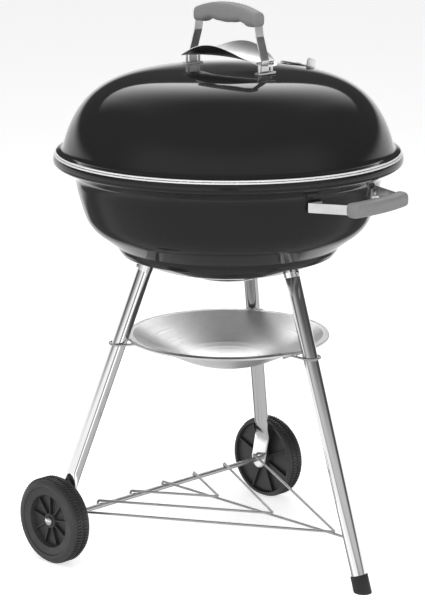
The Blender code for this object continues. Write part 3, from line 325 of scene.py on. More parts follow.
def offset(profile, distance):
    """A (radius, height) profile moved to the right of its run, which is inwards on one that runs down."""
    moved = []
    for index, (radius, height) in enumerate(profile):
        before = profile[max(0, index - 1)]
        after = profile[min(len(profile) - 1, index + 1)]
        run = Vector((after[0] - before[0], after[1] - before[1])).normalized()
        moved.append((max(0.0, radius + run.y * distance), height - run.x * distance))
    return moved


def lathe(profile, steps=ROUND, closed=False, place=Matrix()):
    """A bmesh turned from a (radius, height) profile: a closed loop, or a run that ends on the axis."""
    bm = bmesh.new()
    rings = []
    for radius, height in profile:
        if radius < 1e-6:
            rings.append([bm.verts.new(place @ Vector((0, 0, height)))])
            continue
        ring = []
        for step in range(steps):
            angle = 2 * math.pi * step / steps
            spot = Vector((radius * math.cos(angle), radius * math.sin(angle), height))
            ring.append(bm.verts.new(place @ spot))
        rings.append(ring)
    pairs = list(zip(rings, rings[1:]))
    if closed:
        pairs.append((rings[-1], rings[0]))
    for first, second in pairs:
        if len(first) == 1 and len(second) == 1:
            continue
        for step in range(steps):
            after = (step + 1) % steps
            corners = [first[0]] if len(first) == 1 else [first[step], first[after]]
            corners += [second[0]] if len(second) == 1 else [second[after], second[step]]
            bm.faces.new(corners)
    return bm


def squircle(half_a, half_b, power, count):
    """Points round a rounded rectangle: an ellipse at power 2, and squarer above it."""
    points = []
    for step in range(count):
        angle = 2 * math.pi * (step + 0.5) / count
        pairs = ((half_a, math.cos(angle)), (half_b, math.sin(angle)))
        points.append(tuple(half * math.copysign(abs(x) ** (2 / power), x) for half, x in pairs))
    return points


def loft(rings, bm=None):
    """A closed body through rings of equally many points."""
    bm = bm or bmesh.new()
    loops = [[bm.verts.new(point) for point in ring] for ring in rings]
    for first, second in zip(loops, loops[1:]):
        for index, corner in enumerate(first):
            following = (index + 1) % len(first)
            bm.faces.new((corner, first[following], second[following], second[index]))
    bm.faces.new(loops[0])
    bm.faces.new(loops[-1])
    return bm


END_SHARE = 0.7  # of a wire's radius, where its rounded end stops
END_SETBACK = 0.3  # of a wire's radius, where the rounding starts


def headings(path, least):
    """At each point of a path, its direction and how far a mitre stretches a section there."""
    runs = [(after - before).normalized() for before, after in zip(path, path[1:])]
    found = [(runs[0], 1.0)]
    for before, after in zip(runs, runs[1:]):
        ahead = (before + after).normalized()
        found.append((ahead, 1 / max(least, ahead.dot(after))))
    return found + [(runs[-1], 1.0)]


def tube(points, radius, sides=16, bm=None):
    """A round wire through points, carried along without twisting, with rounded ends."""
    points = [Vector(point) for point in points]
    heading = headings(points, 0.6)
    side = heading[0][0].orthogonal().normalized()
    rings = []
    for point, (ahead, stretch) in zip(points, heading):
        side = (side - ahead * side.dot(ahead)).normalized()
        up = ahead.cross(side)
        reach = radius * (1 + (stretch - 1) * 0.5)
        ring = []
        for step in range(sides):
            angle = 2 * math.pi * step / sides
            ring.append(point + (side * math.cos(angle) + up * math.sin(angle)) * reach)
        rings.append(ring)
    for end, ahead, last in ((0, -heading[0][0], 0), (-1, heading[-1][0], len(rings) + 1)):
        edge = [points[end] + (point - points[end]) * END_SHARE for point in rings[end]]
        rings[end] = [point - ahead * radius * END_SETBACK for point in rings[end]]
        rings.insert(last, edge)
    return loft(rings, bm)


def bar(path, width, thickness, place=Matrix()):
    """A bent flat bar with eased edges: its path in the frame's XY plane, its width along Z."""
    path = [Vector((point[0], point[1], 0)) for point in path]
    half_w = width / 2
    half_t = thickness / 2
    edge = 0.0005
    outline = [
        (half_t - edge, half_w), (half_t, half_w - edge), (half_t, edge - half_w),
        (half_t - edge, -half_w), (edge - half_t, -half_w), (-half_t, edge - half_w),
        (-half_t, half_w - edge), (edge - half_t, half_w),
    ]
    rings = []
    for point, (ahead, stretch) in zip(path, headings(path, 0.5)):
        across = Vector((-ahead.y, ahead.x, 0))
        rings.append([place @ (point + across * (a * stretch) + Vector((0, 0, b))) for a, b in outline])
    return loft(rings)


def add_box(bm, place, low, high):
    low = Vector(low)
    high = Vector(high)
    matrix = place @ Matrix.Translation((low + high) / 2) @ Matrix.Diagonal((*(high - low), 1))
    return bmesh.ops.create_cube(bm, size=1, matrix=matrix)["verts"]


def add_cylinder(bm, place, radius, low, high, sides=40):
    middle = place @ Matrix.Translation((0, 0, (low + high) / 2))
    size = {"radius1": radius, "radius2": radius, "depth": high - low}
    bmesh.ops.create_cone(bm, cap_ends=True, segments=sides, matrix=middle, **size)


def mesh_object(name, bm):
    bmesh.ops.recalc_face_normals(bm, faces=bm.faces)
    mesh = bpy.data.meshes.new(name)
    bm.to_mesh(mesh)
    bm.free()
    made = bpy.data.objects.new(name, mesh)
    SCENE.collection.objects.link(made)
    return made


def cut(obj, bm, operation="DIFFERENCE"):
    """A Boolean with a throw-away body, applied at once."""
    other = mesh_object("cutter", bm)
    change = obj.modifiers.new("cut", "BOOLEAN")
    change.operation = operation
    change.solver = "EXACT"
    change.object = other
    settle(obj)
    bpy.data.objects.remove(other)


def settle(obj):
    """Applies an object's modifiers."""
    graph = bpy.context.evaluated_depsgraph_get()
    mesh = bpy.data.meshes.new_from_object(obj.evaluated_get(graph))
    obj.modifiers.clear()
    old = obj.data
    obj.data = mesh
    bpy.data.meshes.remove(old)


def soften(obj, width, angle=40):
    """Bevels the edges that turn by more than an angle in degrees."""
    bevel = obj.modifiers.new("edge", "BEVEL")
    bevel.width = width
    bevel.segments = 2
    bevel.limit_method = "ANGLE"
    bevel.angle_limit = math.radians(angle)
    settle(obj)


def show(obj, node, sharp=38):
    """The piece takes its node's place: its body, and the material of its slot or of its own look."""
    obj.data.transform(Matrix.Translation((0, KETTLE_Y, 0)) @ obj.matrix_world)
    obj.matrix_world = Matrix.Identity(4)
    obj.name = node + "_look"
    obj.data.name = obj.name
    obj.data.shade_smooth()
    obj.data.set_sharp_from_angle(angle=math.radians(sharp))
    obj.data.materials.clear()
    obj.data.materials.append(MATERIALS[LOOK_OF.get(node, SLOT_OF[node])])
    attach(obj, BODY_OF[node])
    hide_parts(node)


def show_new(node, bm, sharp=38):
    show(mesh_object(node, bm), node, sharp)


def paint_edge_highlight(obj, inside, bottom, top):
    """Paints a highlight on a rolled edge: a light grey material on its faces outside a radius and between
    two heights, in place of the highlight that light draws along the black enamel edge.
    """
    obj.data.materials.append(MATERIALS["edge"])
    for face in obj.data.polygons:
        across, along_y, height = face.center
        if math.hypot(across, along_y - KETTLE_Y) > inside and bottom < height < top:
            face.material_index = 1


def fastener(node, place, radius, height, shaft_radius, shaft_length):
    """A domed head with its flat side at the frame's origin and its shaft along -Z."""
    profile = [
        (0, height), (radius * 0.30, height * 0.975), (radius * 0.58, height * 0.86),
        (radius * 0.80, height * 0.64), (radius * 0.94, height * 0.36), (radius, height * 0.08),
        (radius * 0.99, 0), (shaft_radius, 0), (shaft_radius, -shaft_length + 0.0004),
        (shaft_radius * 0.85, -shaft_length), (0, -shaft_length),
    ]
    show_new(node, lathe(profile, 28, place=place))


# ---- Kettle profiles ----


def dome_height(radius):
    share = min(1.0, abs(radius) / DOME_HALF_WIDTH)
    return DOME_TOP_HEIGHT - DOME_RISE * (1 - (1 - share**DOME_TOP_POWER) ** (1 / DOME_SIDE_POWER))


def dome_radius(height):
    rise = 1 - (DOME_TOP_HEIGHT - height) / DOME_RISE
    return DOME_HALF_WIDTH * (1 - rise**DOME_SIDE_POWER) ** (1 / DOME_TOP_POWER)


def dome_normal(radius):
    step = 0.001
    slope = (dome_height(radius + step) - dome_height(radius - step)) / (2 * step)
    return Vector((-slope, 0, 1)).normalized()


def dome_profile(foot_height):
    """From the top out to the knee by radius, and from there down by height."""
    knee = 0.80 * dome_radius(foot_height)
    top_steps = 22
    side_steps = 24
    radii = [knee * (step / top_steps) for step in range(top_steps + 1)]
    points = [(radius, dome_height(radius)) for radius in radii]
    knee_height = dome_height(knee)
    for step in range(1, side_steps + 1):
        height = knee_height + (foot_height - knee_height) * step / side_steps
        points.append((dome_radius(height), height))
    return points


def lid_loop():
    """The lid's whole section: out over the dome and flange, round the curl, and back inside."""
    outer = dome_profile(SEAM_HEIGHT + 0.0075)
    flange = ((0.2788, 0.0046), (0.2820, 0.0032), (0.2855, 0.0022), (0.2880, 0.0012), (0.2892, -0.0002))
    outer += smooth([outer[-1]] + [(radius, SEAM_HEIGHT + rise) for radius, rise in flange], 4)[1:]
    inner = offset(outer, SHEET)
    hem = [(0.2889, SEAM_HEIGHT - 0.0008), (0.2880, SEAM_HEIGHT - 0.0008)]
    inner[0] = (0, inner[0][1])
    return outer + hem + inner[::-1]


def bottom_height(radius):
    return BOTTOM_HEIGHT + BOTTOM_SPHERE - math.sqrt(BOTTOM_SPHERE**2 - radius**2)


def arc_down(start, lean, end_lean, radius, count):
    """Points along an arc that runs down and inwards, its lean measured from the vertical."""
    for step in range(1, count + 1):
        here = lean + (end_lean - lean) * step / count
        inward = radius * (math.cos(lean) - math.cos(here))
        down = radius * (math.sin(here) - math.sin(lean))
        yield (start[0] - inward, start[1] - down)


def bowl_outside():
    """From the rolled rim down the wall, in over the shoulder and across the round bottom."""
    rim = (
        (0.2858, 0.0014), (0.2876, 0.0006), (0.2896, 0.0010), (0.2913, 0.0034), (0.2926, 0.0075),
        (0.2928, 0.0122), (0.2918, 0.0158), (0.2880, 0.0190), (0.2816, 0.0222), (0.2742, 0.0260),
        (0.2672, 0.0306), (0.2610, 0.0360), (0.2572, 0.0420),
    )
    rim = smooth([(radius, SEAM_HEIGHT - 0.0014 - fall) for radius, fall in rim], 4)
    wall = [rim[-1]]
    wall += arc_down((0.2561, 0.6515), 0.19, 0.33, 0.4163, 10)
    wall += arc_down(wall[-1], 0.33, 0.92, 0.0632, 14)
    foot = (BOTTOM_RADIUS, bottom_height(BOTTOM_RADIUS))
    shoulder = rounded([wall[-1], BOWL_SHOULDER, (0.1853, 0.5355), (0.1795, 0.5275), foot], 0.0035, 5)
    steps = 16
    radii = [BOTTOM_RADIUS * (1 - step / steps) for step in range(1, steps + 1)]
    bottom = [(radius, bottom_height(radius)) for radius in radii]
    return rim + wall[1:] + shoulder[1:-1] + bottom


# ---- Lid ----

# Where the painted highlight on the lid's rolled edge goes
LID_HIGHLIGHT_RADIUS = 0.2872
LID_HIGHLIGHT_TOP = 0.0017  # above the seam

FOOT_REACH = 0.0850
BOLT_SPACING = 0.0286
FOOT_WIDTH = 0.0400
FOOT_LENGTH = 0.0150
STRAP_SHEET = 0.0025
LID_STRAP_WIDTH = 0.0180
LID_GRIP_LENGTH = 0.1430
LID_GRIP_HALF_WIDTH = 0.0135
LID_GRIP_TOP = 0.9468
LID_GRIP_FALL = 0.0130  # from its middle to its ends

SHIELD_HEIGHT = 0.8568
SHIELD_SHEET = 0.0010
SHIELD_HALF_LENGTH = 0.0985
SHIELD_HALF_WIDTH = 0.0410
SHIELD_CURL = 13.0  # how fast its sides rise, at the middle
SHIELD_FALL = 0.70  # how fast it falls towards its ends

LID_DAMPER_REACH = 0.1670
LID_DAMPER_RADIUS = 0.0310
LID_VENT_CIRCLE = 0.0160
LID_VENT_RADIUS = 0.0070
DAMPER_SHEET = 0.0012
YZ_FRAME = Matrix(((0, 0, 1, 0), (1, 0, 0, 0), (0, 1, 0, 0), (0, 0, 0, 1)))


def vent_frames(place, circle):
    """Three places round a circle."""
    for index in range(3):
        angle = 2 * math.pi * index / 3
        yield place @ Matrix.Translation((circle * math.cos(angle), circle * math.sin(angle), 0))


def damper_frame():
    at = (LID_DAMPER_REACH, 0, dome_height(LID_DAMPER_REACH))
    return along(at, dome_normal(LID_DAMPER_REACH), across=(0, -1, 0))


def lid_bolt_places():
    for side in (-1, 1):
        for across in (-1, 1):
            yield Vector((across * BOLT_SPACING / 2, side * FOOT_REACH, 0))


def make_lid():
    lid = mesh_object("lid", lathe(lid_loop()))
    holes = bmesh.new()
    for vent in vent_frames(damper_frame(), LID_VENT_CIRCLE):
        add_cylinder(holes, vent, LID_VENT_RADIUS, -0.01, 0.01)
    cut(lid, holes)
    show(lid, "lid")
    # Light grey paint on the lid's rolled edge: a painted highlight
    paint_edge_highlight(lid, LID_HIGHLIGHT_RADIUS, 0, SEAM_HEIGHT + LID_HIGHLIGHT_TOP)


def lid_foot_height():
    return dome_height(FOOT_REACH - FOOT_LENGTH / 2) + GAP


def lid_strap_path():
    foot = lid_foot_height() + STRAP_SHEET / 2
    half = [
        (FOOT_REACH + 0.006, foot), (FOOT_REACH - 0.001, foot),
        (FOOT_REACH - 0.0005, foot + 0.020), (0.0720, 0.8955), (0.0670, 0.9255),
    ]
    mirrored = [(-y, z) for y, z in reversed(half)]
    return rounded(half + mirrored, 0.006, 8)


def make_lid_strap():
    strap = bar(lid_strap_path(), LID_STRAP_WIDTH, STRAP_SHEET, YZ_FRAME)
    strap = mesh_object("lid_handle_strap", strap)
    foot = lid_foot_height()
    for side in (-1, 1):
        plate = bmesh.new()
        middle = side * (FOOT_REACH + 0.0004)
        outline = [(x, middle + y) for x, y in squircle(FOOT_WIDTH / 2, FOOT_LENGTH / 2, 6, 40)]
        high = foot + STRAP_SHEET + 0.0002
        loft([[(x, y, foot) for x, y in outline], [(x, y, high) for x, y in outline]], plate)
        cut(strap, plate, "UNION")
    holes = bmesh.new()
    for place in lid_bolt_places():
        add_cylinder(holes, Matrix.Translation(place), BOLT_RADIUS + GAP, 0.80, 0.88, 24)
    cut(strap, holes)
    show(strap, "lid_handle_strap")


# From one end of a grip to the other, closer together near the ends
GRIP_SHARES = [-math.cos(math.pi * step / 60) for step in range(61)]


def grip_underside(share):
    """The finger side of the lid grip: a belly in the middle, a hollow each side, deep ends."""
    knots = [(0.0, 0.0330), (0.25, 0.0318), (0.48, 0.0290), (0.60, 0.0318), (0.72, 0.0360), (1.0, 0.0360)]
    for (near, deep), (far, deeper) in zip(knots, knots[1:]):
        if share <= far:
            t = (share - near) / (far - near)
            return LID_GRIP_TOP - deep - (deeper - deep) * t * t * (3 - 2 * t)
    return LID_GRIP_TOP - knots[-1][1]


def make_lid_grip():
    rings = []
    for share in GRIP_SHARES:
        y = share * LID_GRIP_LENGTH / 2
        top = LID_GRIP_TOP - LID_GRIP_FALL * abs(share) ** 2.2
        low = grip_underside(abs(share))
        shrink = 1 - 0.24 * max(0.0, (abs(share) - 0.955) / 0.045) ** 2.2
        middle = (top + low) / 2
        outline = squircle(LID_GRIP_HALF_WIDTH * shrink, (top - low) / 2 * shrink, 3.2, 40)
        rings.append([(x, y, middle + z) for x, z in outline])
    grip = mesh_object("lid_handle_grip", loft(rings))
    cut(grip, bar(lid_strap_path(), LID_STRAP_WIDTH + 2 * GAP, STRAP_SHEET + 2 * GAP, YZ_FRAME))
    show(grip, "lid_handle_grip", 32)


def shield_height(x, y):
    curl = SHIELD_CURL * (1 - 0.75 * (y / SHIELD_HALF_LENGTH) ** 2)
    return SHIELD_HEIGHT - SHIELD_FALL * y * y + curl * x * x


def make_heat_shield():
    bm = bmesh.new()
    rows = 64
    columns = 24
    sheets = []
    for side in (-0.5, 0.5):
        grid = []
        for row in range(rows + 1):
            angle = math.pi * (0.5 + row) / (rows + 1)
            y = -SHIELD_HALF_LENGTH * math.cos(angle)
            half = SHIELD_HALF_WIDTH * (0.30 + 0.70 * math.sin(angle) ** 1.3)
            xs = [half * (2 * column / columns - 1) for column in range(columns + 1)]
            heights = [shield_height(x, y) + side * SHIELD_SHEET for x in xs]
            grid.append([bm.verts.new((x, y, height)) for x, height in zip(xs, heights)])
        for first, second in zip(grid, grid[1:]):
            for column in range(columns):
                bm.faces.new((first[column], first[column + 1], second[column + 1], second[column]))
        sheets.append(grid)
    low, high = sheets

    def border(grid):
        right = [line[-1] for line in grid]
        left = [line[0] for line in grid]
        return grid[0] + right[1:] + grid[-1][-2::-1] + left[-2:0:-1]

    edges = list(zip(border(low), border(high)))
    for (a, b), (c, d) in zip(edges, edges[1:] + edges[:1]):
        bm.faces.new((a, c, d, b))
    shield = mesh_object("lid_heat_shield", bm)
    slots = bmesh.new()
    for side in (-1, 1):
        middle = side * FOOT_REACH
        add_box(slots, Matrix(), (-0.0096, middle - 0.0030, 0.82), (0.0096, middle + 0.0022, 0.90))
    cut(shield, slots)
    show(shield, "lid_heat_shield")


def make_lid_fasteners():
    for index, place in enumerate(lid_bolt_places(), 1):
        around = (place.x - 0.0048, place.x + 0.0048)
        seat = max(shield_height(x, place.y) for x in around) + 0.0005 + GAP
        below = dome_height(place.length) - SHEET - 0.0065
        node = f"lid_handle_bolt_{index}"
        top = Matrix.Translation((place.x, place.y, seat))
        fastener(node, top, 0.0046, 0.0030, BOLT_RADIUS, seat - below)


def damper_disc(node, place, radius, low, high, circle, vent, plates):
    """A round plate with three vents, a rivet hole and the bent plates that turn it."""
    bm = bmesh.new()
    add_cylinder(bm, place, radius, low, high, 96)
    disc = mesh_object(node, bm)
    for turn, bottom, top in plates:
        plate = bmesh.new()
        add_box(plate, place @ turn, bottom, top)
        cut(disc, plate, "UNION")
    holes = bmesh.new()
    for each in vent_frames(place, circle):
        add_cylinder(holes, each, vent, low - 0.01, high + 0.01)
    add_cylinder(holes, place, BOLT_RADIUS + GAP, low - 0.01, high + 0.01)
    cut(disc, holes)
    soften(disc, 0.00025)
    show(disc, node)


def make_lid_damper():
    place = damper_frame()
    low = GAP
    high = GAP + DAMPER_SHEET
    reach = 0.0260
    turn = Matrix.Rotation(math.radians(12), 4, "Z")
    plates = [
        (turn, (reach - 0.0016, -0.0130, (low + high) / 2), (reach, 0.0130, 0.0120)),
        (turn, (reach - 0.0014, -0.0095, 0.0100), (reach - 0.0002, 0.0095, 0.0142)),
    ]
    disc = (LID_DAMPER_RADIUS, low, high, LID_VENT_CIRCLE, LID_VENT_RADIUS)
    damper_disc("lid_damper", place, *disc, plates)
    top = place @ Matrix.Translation((0, 0, high + GAP))
    fastener("lid_damper_rivet", top, 0.0060, 0.0028, BOLT_RADIUS, high + SHEET + 0.0030)


# ---- Bowl ----

HANDLE_HEIGHT = 0.6470
HANDLE_FRAME = Matrix.Translation((0, 0, HANDLE_HEIGHT)) @ Matrix.Rotation(math.radians(5) - math.pi, 4, "Z")
STRAP_RADIUS = 0.2567 + 2 * GAP + STRAP_SHEET / 2
# Where the painted highlight on the bowl's rolled rim goes
BOWL_HIGHLIGHT_RADIUS = 0.2878
BOWL_HIGHLIGHT_DEPTH = 0.0042  # below the seam
BOLT_SPREAD = 0.0780
STRAP_SPREAD = 0.0914  # from the middle of the bowl handle to the end of its strap
BOWL_STRAP_WIDTH = 0.0165
BAR_REACH = 0.3115  # of the bar at the ends of the grip
BAR_BOW = 0.0070
BOWL_GRIP_LENGTH = 0.1370

BOWL_DAMPER_RADIUS = 0.0560
BOWL_VENT_CIRCLE = 0.0360
BOWL_VENT_RADIUS = 0.0085


def make_bowl():
    outside = bowl_outside()
    inside = offset(outside, SHEET)
    inside[-1] = (0, inside[-1][1])
    bowl = mesh_object("bowl", lathe(outside + inside[::-1], closed=True))
    holes = bmesh.new()
    for vent in vent_frames(Matrix.Translation((0, 0, BOTTOM_HEIGHT)), BOWL_VENT_CIRCLE):
        add_cylinder(holes, vent, BOWL_VENT_RADIUS, -0.01, 0.02)
    cut(bowl, holes)
    show(bowl, "bowl")
    # Light grey paint on the bowl's rolled rim: a painted highlight
    paint_edge_highlight(bowl, BOWL_HIGHLIGHT_RADIUS, SEAM_HEIGHT - BOWL_HIGHLIGHT_DEPTH, SEAM_HEIGHT)


def make_bowl_damper():
    place = Matrix.Translation((0, 0, BOTTOM_HEIGHT))
    high = -GAP
    low = high - DAMPER_SHEET
    plates = [
        (Matrix(), (-0.007, 0.045, low + 0.0001), (0.007, 0.082, high - 0.0001)),
        (Matrix(), (-0.0065, 0.0804, low - 0.007), (0.0065, 0.0818, high - 0.0004)),
    ]
    disc = (BOWL_DAMPER_RADIUS, low, high, BOWL_VENT_CIRCLE, BOWL_VENT_RADIUS)
    damper_disc("bowl_damper", place, *disc, plates)
    below = along((0, 0, BOTTOM_HEIGHT + low - GAP), (0, 0, -1))
    fastener("bowl_damper_rivet", below, 0.0060, 0.0025, BOLT_RADIUS, DAMPER_SHEET + SHEET + 0.0030)


def bar_reach(x):
    return BAR_REACH + BAR_BOW * (1 - (2 * x / BOWL_GRIP_LENGTH) ** 2)


def bowl_handle_path():
    points = []
    tip = BOLT_SPREAD - 0.012
    for step in range(7):
        spread = tip + (STRAP_SPREAD - tip) * step / 6
        points.append((-spread, math.sqrt(STRAP_RADIUS**2 - spread**2)))
    half = rounded(points + [(-0.0620, BAR_REACH), (0, bar_reach(0))], 0.006, 8)[:-1]
    middle = [(-0.0560 * s, bar_reach(0.0560 * s)) for s in (0.7, 0.5, 0.3, 0.15)]
    left = half + middle
    return left + [(0, bar_reach(0))] + [(-x, y) for x, y in reversed(left)]


def bowl_bolt_frames():
    for side in (-1, 1):
        angle = math.asin(BOLT_SPREAD / STRAP_RADIUS)
        direction = HANDLE_FRAME.to_3x3() @ Vector((side * math.sin(angle), math.cos(angle), 0))
        centre = HANDLE_FRAME.translation + direction * (STRAP_RADIUS + STRAP_SHEET / 2 + GAP)
        yield along(centre, direction, across=(0, 0, 1))


def make_bowl_handle():
    path = bowl_handle_path()
    strap = bar(path, BOWL_STRAP_WIDTH, STRAP_SHEET, HANDLE_FRAME)
    show_new("bowl_handle_strap", strap)
    rings = []
    for share in GRIP_SHARES:
        x = share * BOWL_GRIP_LENGTH / 2
        shrink = 1 - 0.30 * max(0.0, (abs(share) - 0.93) / 0.07) ** 2.4
        outline = squircle(0.0130 * shrink, 0.0122 * shrink, 3.0, 40)
        rings.append([HANDLE_FRAME @ Vector((x, bar_reach(x) + y, z)) for y, z in outline])
    grip = mesh_object("bowl_handle_grip", loft(rings))
    cut(grip, bar(path, BOWL_STRAP_WIDTH + 2 * GAP, STRAP_SHEET + 2 * GAP, HANDLE_FRAME))
    show(grip, "bowl_handle_grip", 32)
    for index, place in enumerate(bowl_bolt_frames(), 1):
        fastener(f"bowl_handle_bolt_{index}", place, 0.0048, 0.0030, BOLT_RADIUS, 0.0140)


# ---- Grates ----


RING_WIRE_RADIUS = 0.0030
ROD_RADIUS = 0.0022


def make_grate(node, pitch, cross_places, turn):
    """A ring of wire with parallel rods on cross rods, all welded."""
    low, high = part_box(node)
    radius = (high.x - low.x) / 2
    middle = radius - RING_WIRE_RADIUS
    height = high.z - RING_WIRE_RADIUS
    wheel = Matrix.Rotation(turn, 4, "Z")
    section = []
    for step in range(16):
        angle = -2 * math.pi * step / 16
        out = RING_WIRE_RADIUS * math.cos(angle)
        section.append((middle + out, height + RING_WIRE_RADIUS * math.sin(angle)))
    bm = lathe(section, 128, closed=True)
    count = int((radius - 2 * RING_WIRE_RADIUS) / pitch)
    for index in range(-count, count + 1):
        y = index * pitch
        half = math.sqrt(middle**2 - y * y)
        ends = [wheel @ Vector((side * half, y, height + 0.0004)) for side in (-1, 1)]
        tube(ends, ROD_RADIUS, 12, bm)
    for x in cross_places:
        half = math.sqrt(middle**2 - x * x)
        ends = [wheel @ Vector((x, side * half, height - 0.0031)) for side in (-1, 1)]
        tube(ends, ROD_RADIUS, 12, bm)
    show_new(node, bm)


# ---- Legs ----


def front_leg_point(height):
    return Vector((0, -(FRONT_REACH + (LEG_DATUM - height) * FRONT_LEAN), height))


REAR_BEND = (0.1476, 0.1217)  # the Y and Z of the bend into the flat tongue
CRUSH_HEIGHTS = (0.156, 0.1245)  # where the rear tubes start and stop flattening
TONGUE_HALF_WIDTH = 0.0170
TONGUE_HALF_THICKNESS = 0.0018
FRONT_LEG_FOOT = 0.0125
FOOT_CAP_WALL = 0.0023
FOOT_CAP_HEIGHT = 0.0160


def rear_leg_point(side, height):
    reach = REAR_REACH
    across = side * reach * math.cos(REAR_ANGLE)
    top = Vector((across, reach * math.sin(REAR_ANGLE), LEG_DATUM))
    bend = Vector((side * TONGUE_X, *REAR_BEND))
    fall = LEG_DATUM - REAR_BEND[1]
    return top + (bend - top) * (LEG_DATUM - height) / fall


def leg_point(leg, height):
    if leg == "front":
        return front_leg_point(height)
    return rear_leg_point(-1 if leg == "left" else 1, height)


def leg_frame(leg, height):
    """On the leg's axis, with Z up along it and X pointing away from the kettle."""
    here = leg_point(leg, height)
    return along(here, leg_point(leg, height + 0.1) - here, across=(here.x, here.y, 0))


def make_front_leg():
    top = leg_frame("front", LEG_TOPS["front"])
    length = (top.translation - front_leg_point(FRONT_LEG_FOOT)).length
    wall = TUBE_RADIUS - TUBE_WALL
    section = [(TUBE_RADIUS - 0.0002, 0), (TUBE_RADIUS, -0.0003), (TUBE_RADIUS, -length)]
    section += [(wall, -length), (wall, 0)]
    show_new("leg_front", lathe(section, 64, closed=True, place=top))


def make_rear_leg(leg):
    side = -1 if leg == "left" else 1
    top = leg_frame(leg, LEG_TOPS[leg])
    down = -(top.to_3x3() @ Vector((0, 0, 1)))
    flat = Vector((side, 0, 0))
    tube_a = (flat - down * flat.dot(down)).normalized()
    tube_b = down.cross(tube_a)
    bend = leg_point(leg, REAR_BEND[1])
    axle = Vector((bend.x, AXLE_Y, WHEEL_RADIUS))
    tongue_down = (axle - bend).normalized()
    tongue_b = tongue_down.cross(flat)
    half = TONGUE_HALF_WIDTH
    thin = TONGUE_HALF_THICKNESS

    def ring(centre, a, b, half_a, half_b, power):
        return [centre + a * u + b * v for u, v in squircle(half_a, half_b, power, 56)]

    rings = [ring(top.translation, tube_a, tube_b, TUBE_RADIUS, TUBE_RADIUS, 2)]
    for step in range(13):
        share = step / 12
        ease = share * share * (3 - 2 * share)
        height = CRUSH_HEIGHTS[0] + (CRUSH_HEIGHTS[1] - CRUSH_HEIGHTS[0]) * share
        squeeze = TUBE_RADIUS * (1 - 0.78 * ease)
        spread = TUBE_RADIUS * (1 + 0.33 * ease)
        centre = leg_point(leg, height)
        rings.append(ring(centre, tube_a, tube_b, squeeze, spread, 2 + 0.8 * ease))
    rings.append(ring(bend, flat, tongue_b, thin * 1.2, half * 0.985, 3.2))
    for share in (0.12, 0.3, 0.65, 1.0):
        rings.append(ring(bend + (axle - bend) * share, flat, tongue_b, thin, half, 7))
    for degrees in (12, 24, 36, 48, 60, 70, 78, 84):
        angle = math.radians(degrees)
        centre = axle + tongue_down * half * math.sin(angle)
        rings.append(ring(centre, flat, tongue_b, thin, half * math.cos(angle), 7))
    made = mesh_object(f"leg_{leg}", loft(rings))
    bore = bmesh.new()
    add_cylinder(bore, top, TUBE_RADIUS - TUBE_WALL, -0.20, 0.01, 48)
    cut(made, bore)
    show(made, f"leg_{leg}", 30)


def make_foot_cap():
    base = leg_frame("front", FRONT_LEG_FOOT)
    outer = TUBE_RADIUS + FOOT_CAP_WALL
    inner = TUBE_RADIUS + GAP
    profile = [
        (0, -GAP), (inner, -GAP), (inner, FOOT_CAP_HEIGHT), (outer - 0.0008, FOOT_CAP_HEIGHT),
        (outer, 0.0152), (outer, -0.025), (0, -0.025),
    ]
    cap = mesh_object("foot_cap", lathe(profile, 64, place=base))
    ground = bmesh.new()
    add_box(ground, Matrix(), (-0.1, -0.5, -0.1), (0.1, 0.0, 0.0))
    cut(cap, ground)
    soften(cap, 0.0006, 30)
    show(cap, "foot_cap")


# ---- Wheels, axle and rack ----

HUB_INNER = -0.0215  # the hub's two faces, from the middle of the wheel
HUB_OUTER = 0.0110
SPOKES = 9
RIBS = 8
LUGS = 84  # in each of the two rows
SPOKE_HALF = 0.0009
RIB_HALF = 0.0010
LUG_HALF = 0.0016
LUG_TAPER = 0.0007


def wheel_loop():
    """A wheel's section, from the rim's outer face over the tread and back in to the hub."""
    top = WHEEL_WIDTH / 2
    r = WHEEL_RADIUS
    bore = AXLE_RADIUS + 0.0004
    corners = [
        (r * 0.860, top), (r * 0.945, top - 0.0020), (r * 0.970, top - 0.0065),
        (r * 0.972, top - 0.0165), (r * 0.964, top - 0.0175), (r * 0.964, top - 0.0190),
        (r * 0.972, top - 0.0200), (r * 0.972, -top + 0.0070), (r * 0.955, -top + 0.0010),
        (r * 0.940, -top), (r * 0.880, -top), (r * 0.860, -top + 0.0080), (0.0165, -top + 0.0080),
        (0.0140, HUB_INNER), (bore, HUB_INNER), (bore, HUB_OUTER), (0.0125, HUB_OUTER),
        (0.0145, top - 0.0145), (r * 0.570, top - 0.0145), (r * 0.610, top - 0.0035),
        (r * 0.780, top - 0.0020), (r * 0.800, top),
    ]
    around = corners[-1:] + corners + corners[:1]
    return rounded(around, 0.0012, 4)[1:-1]


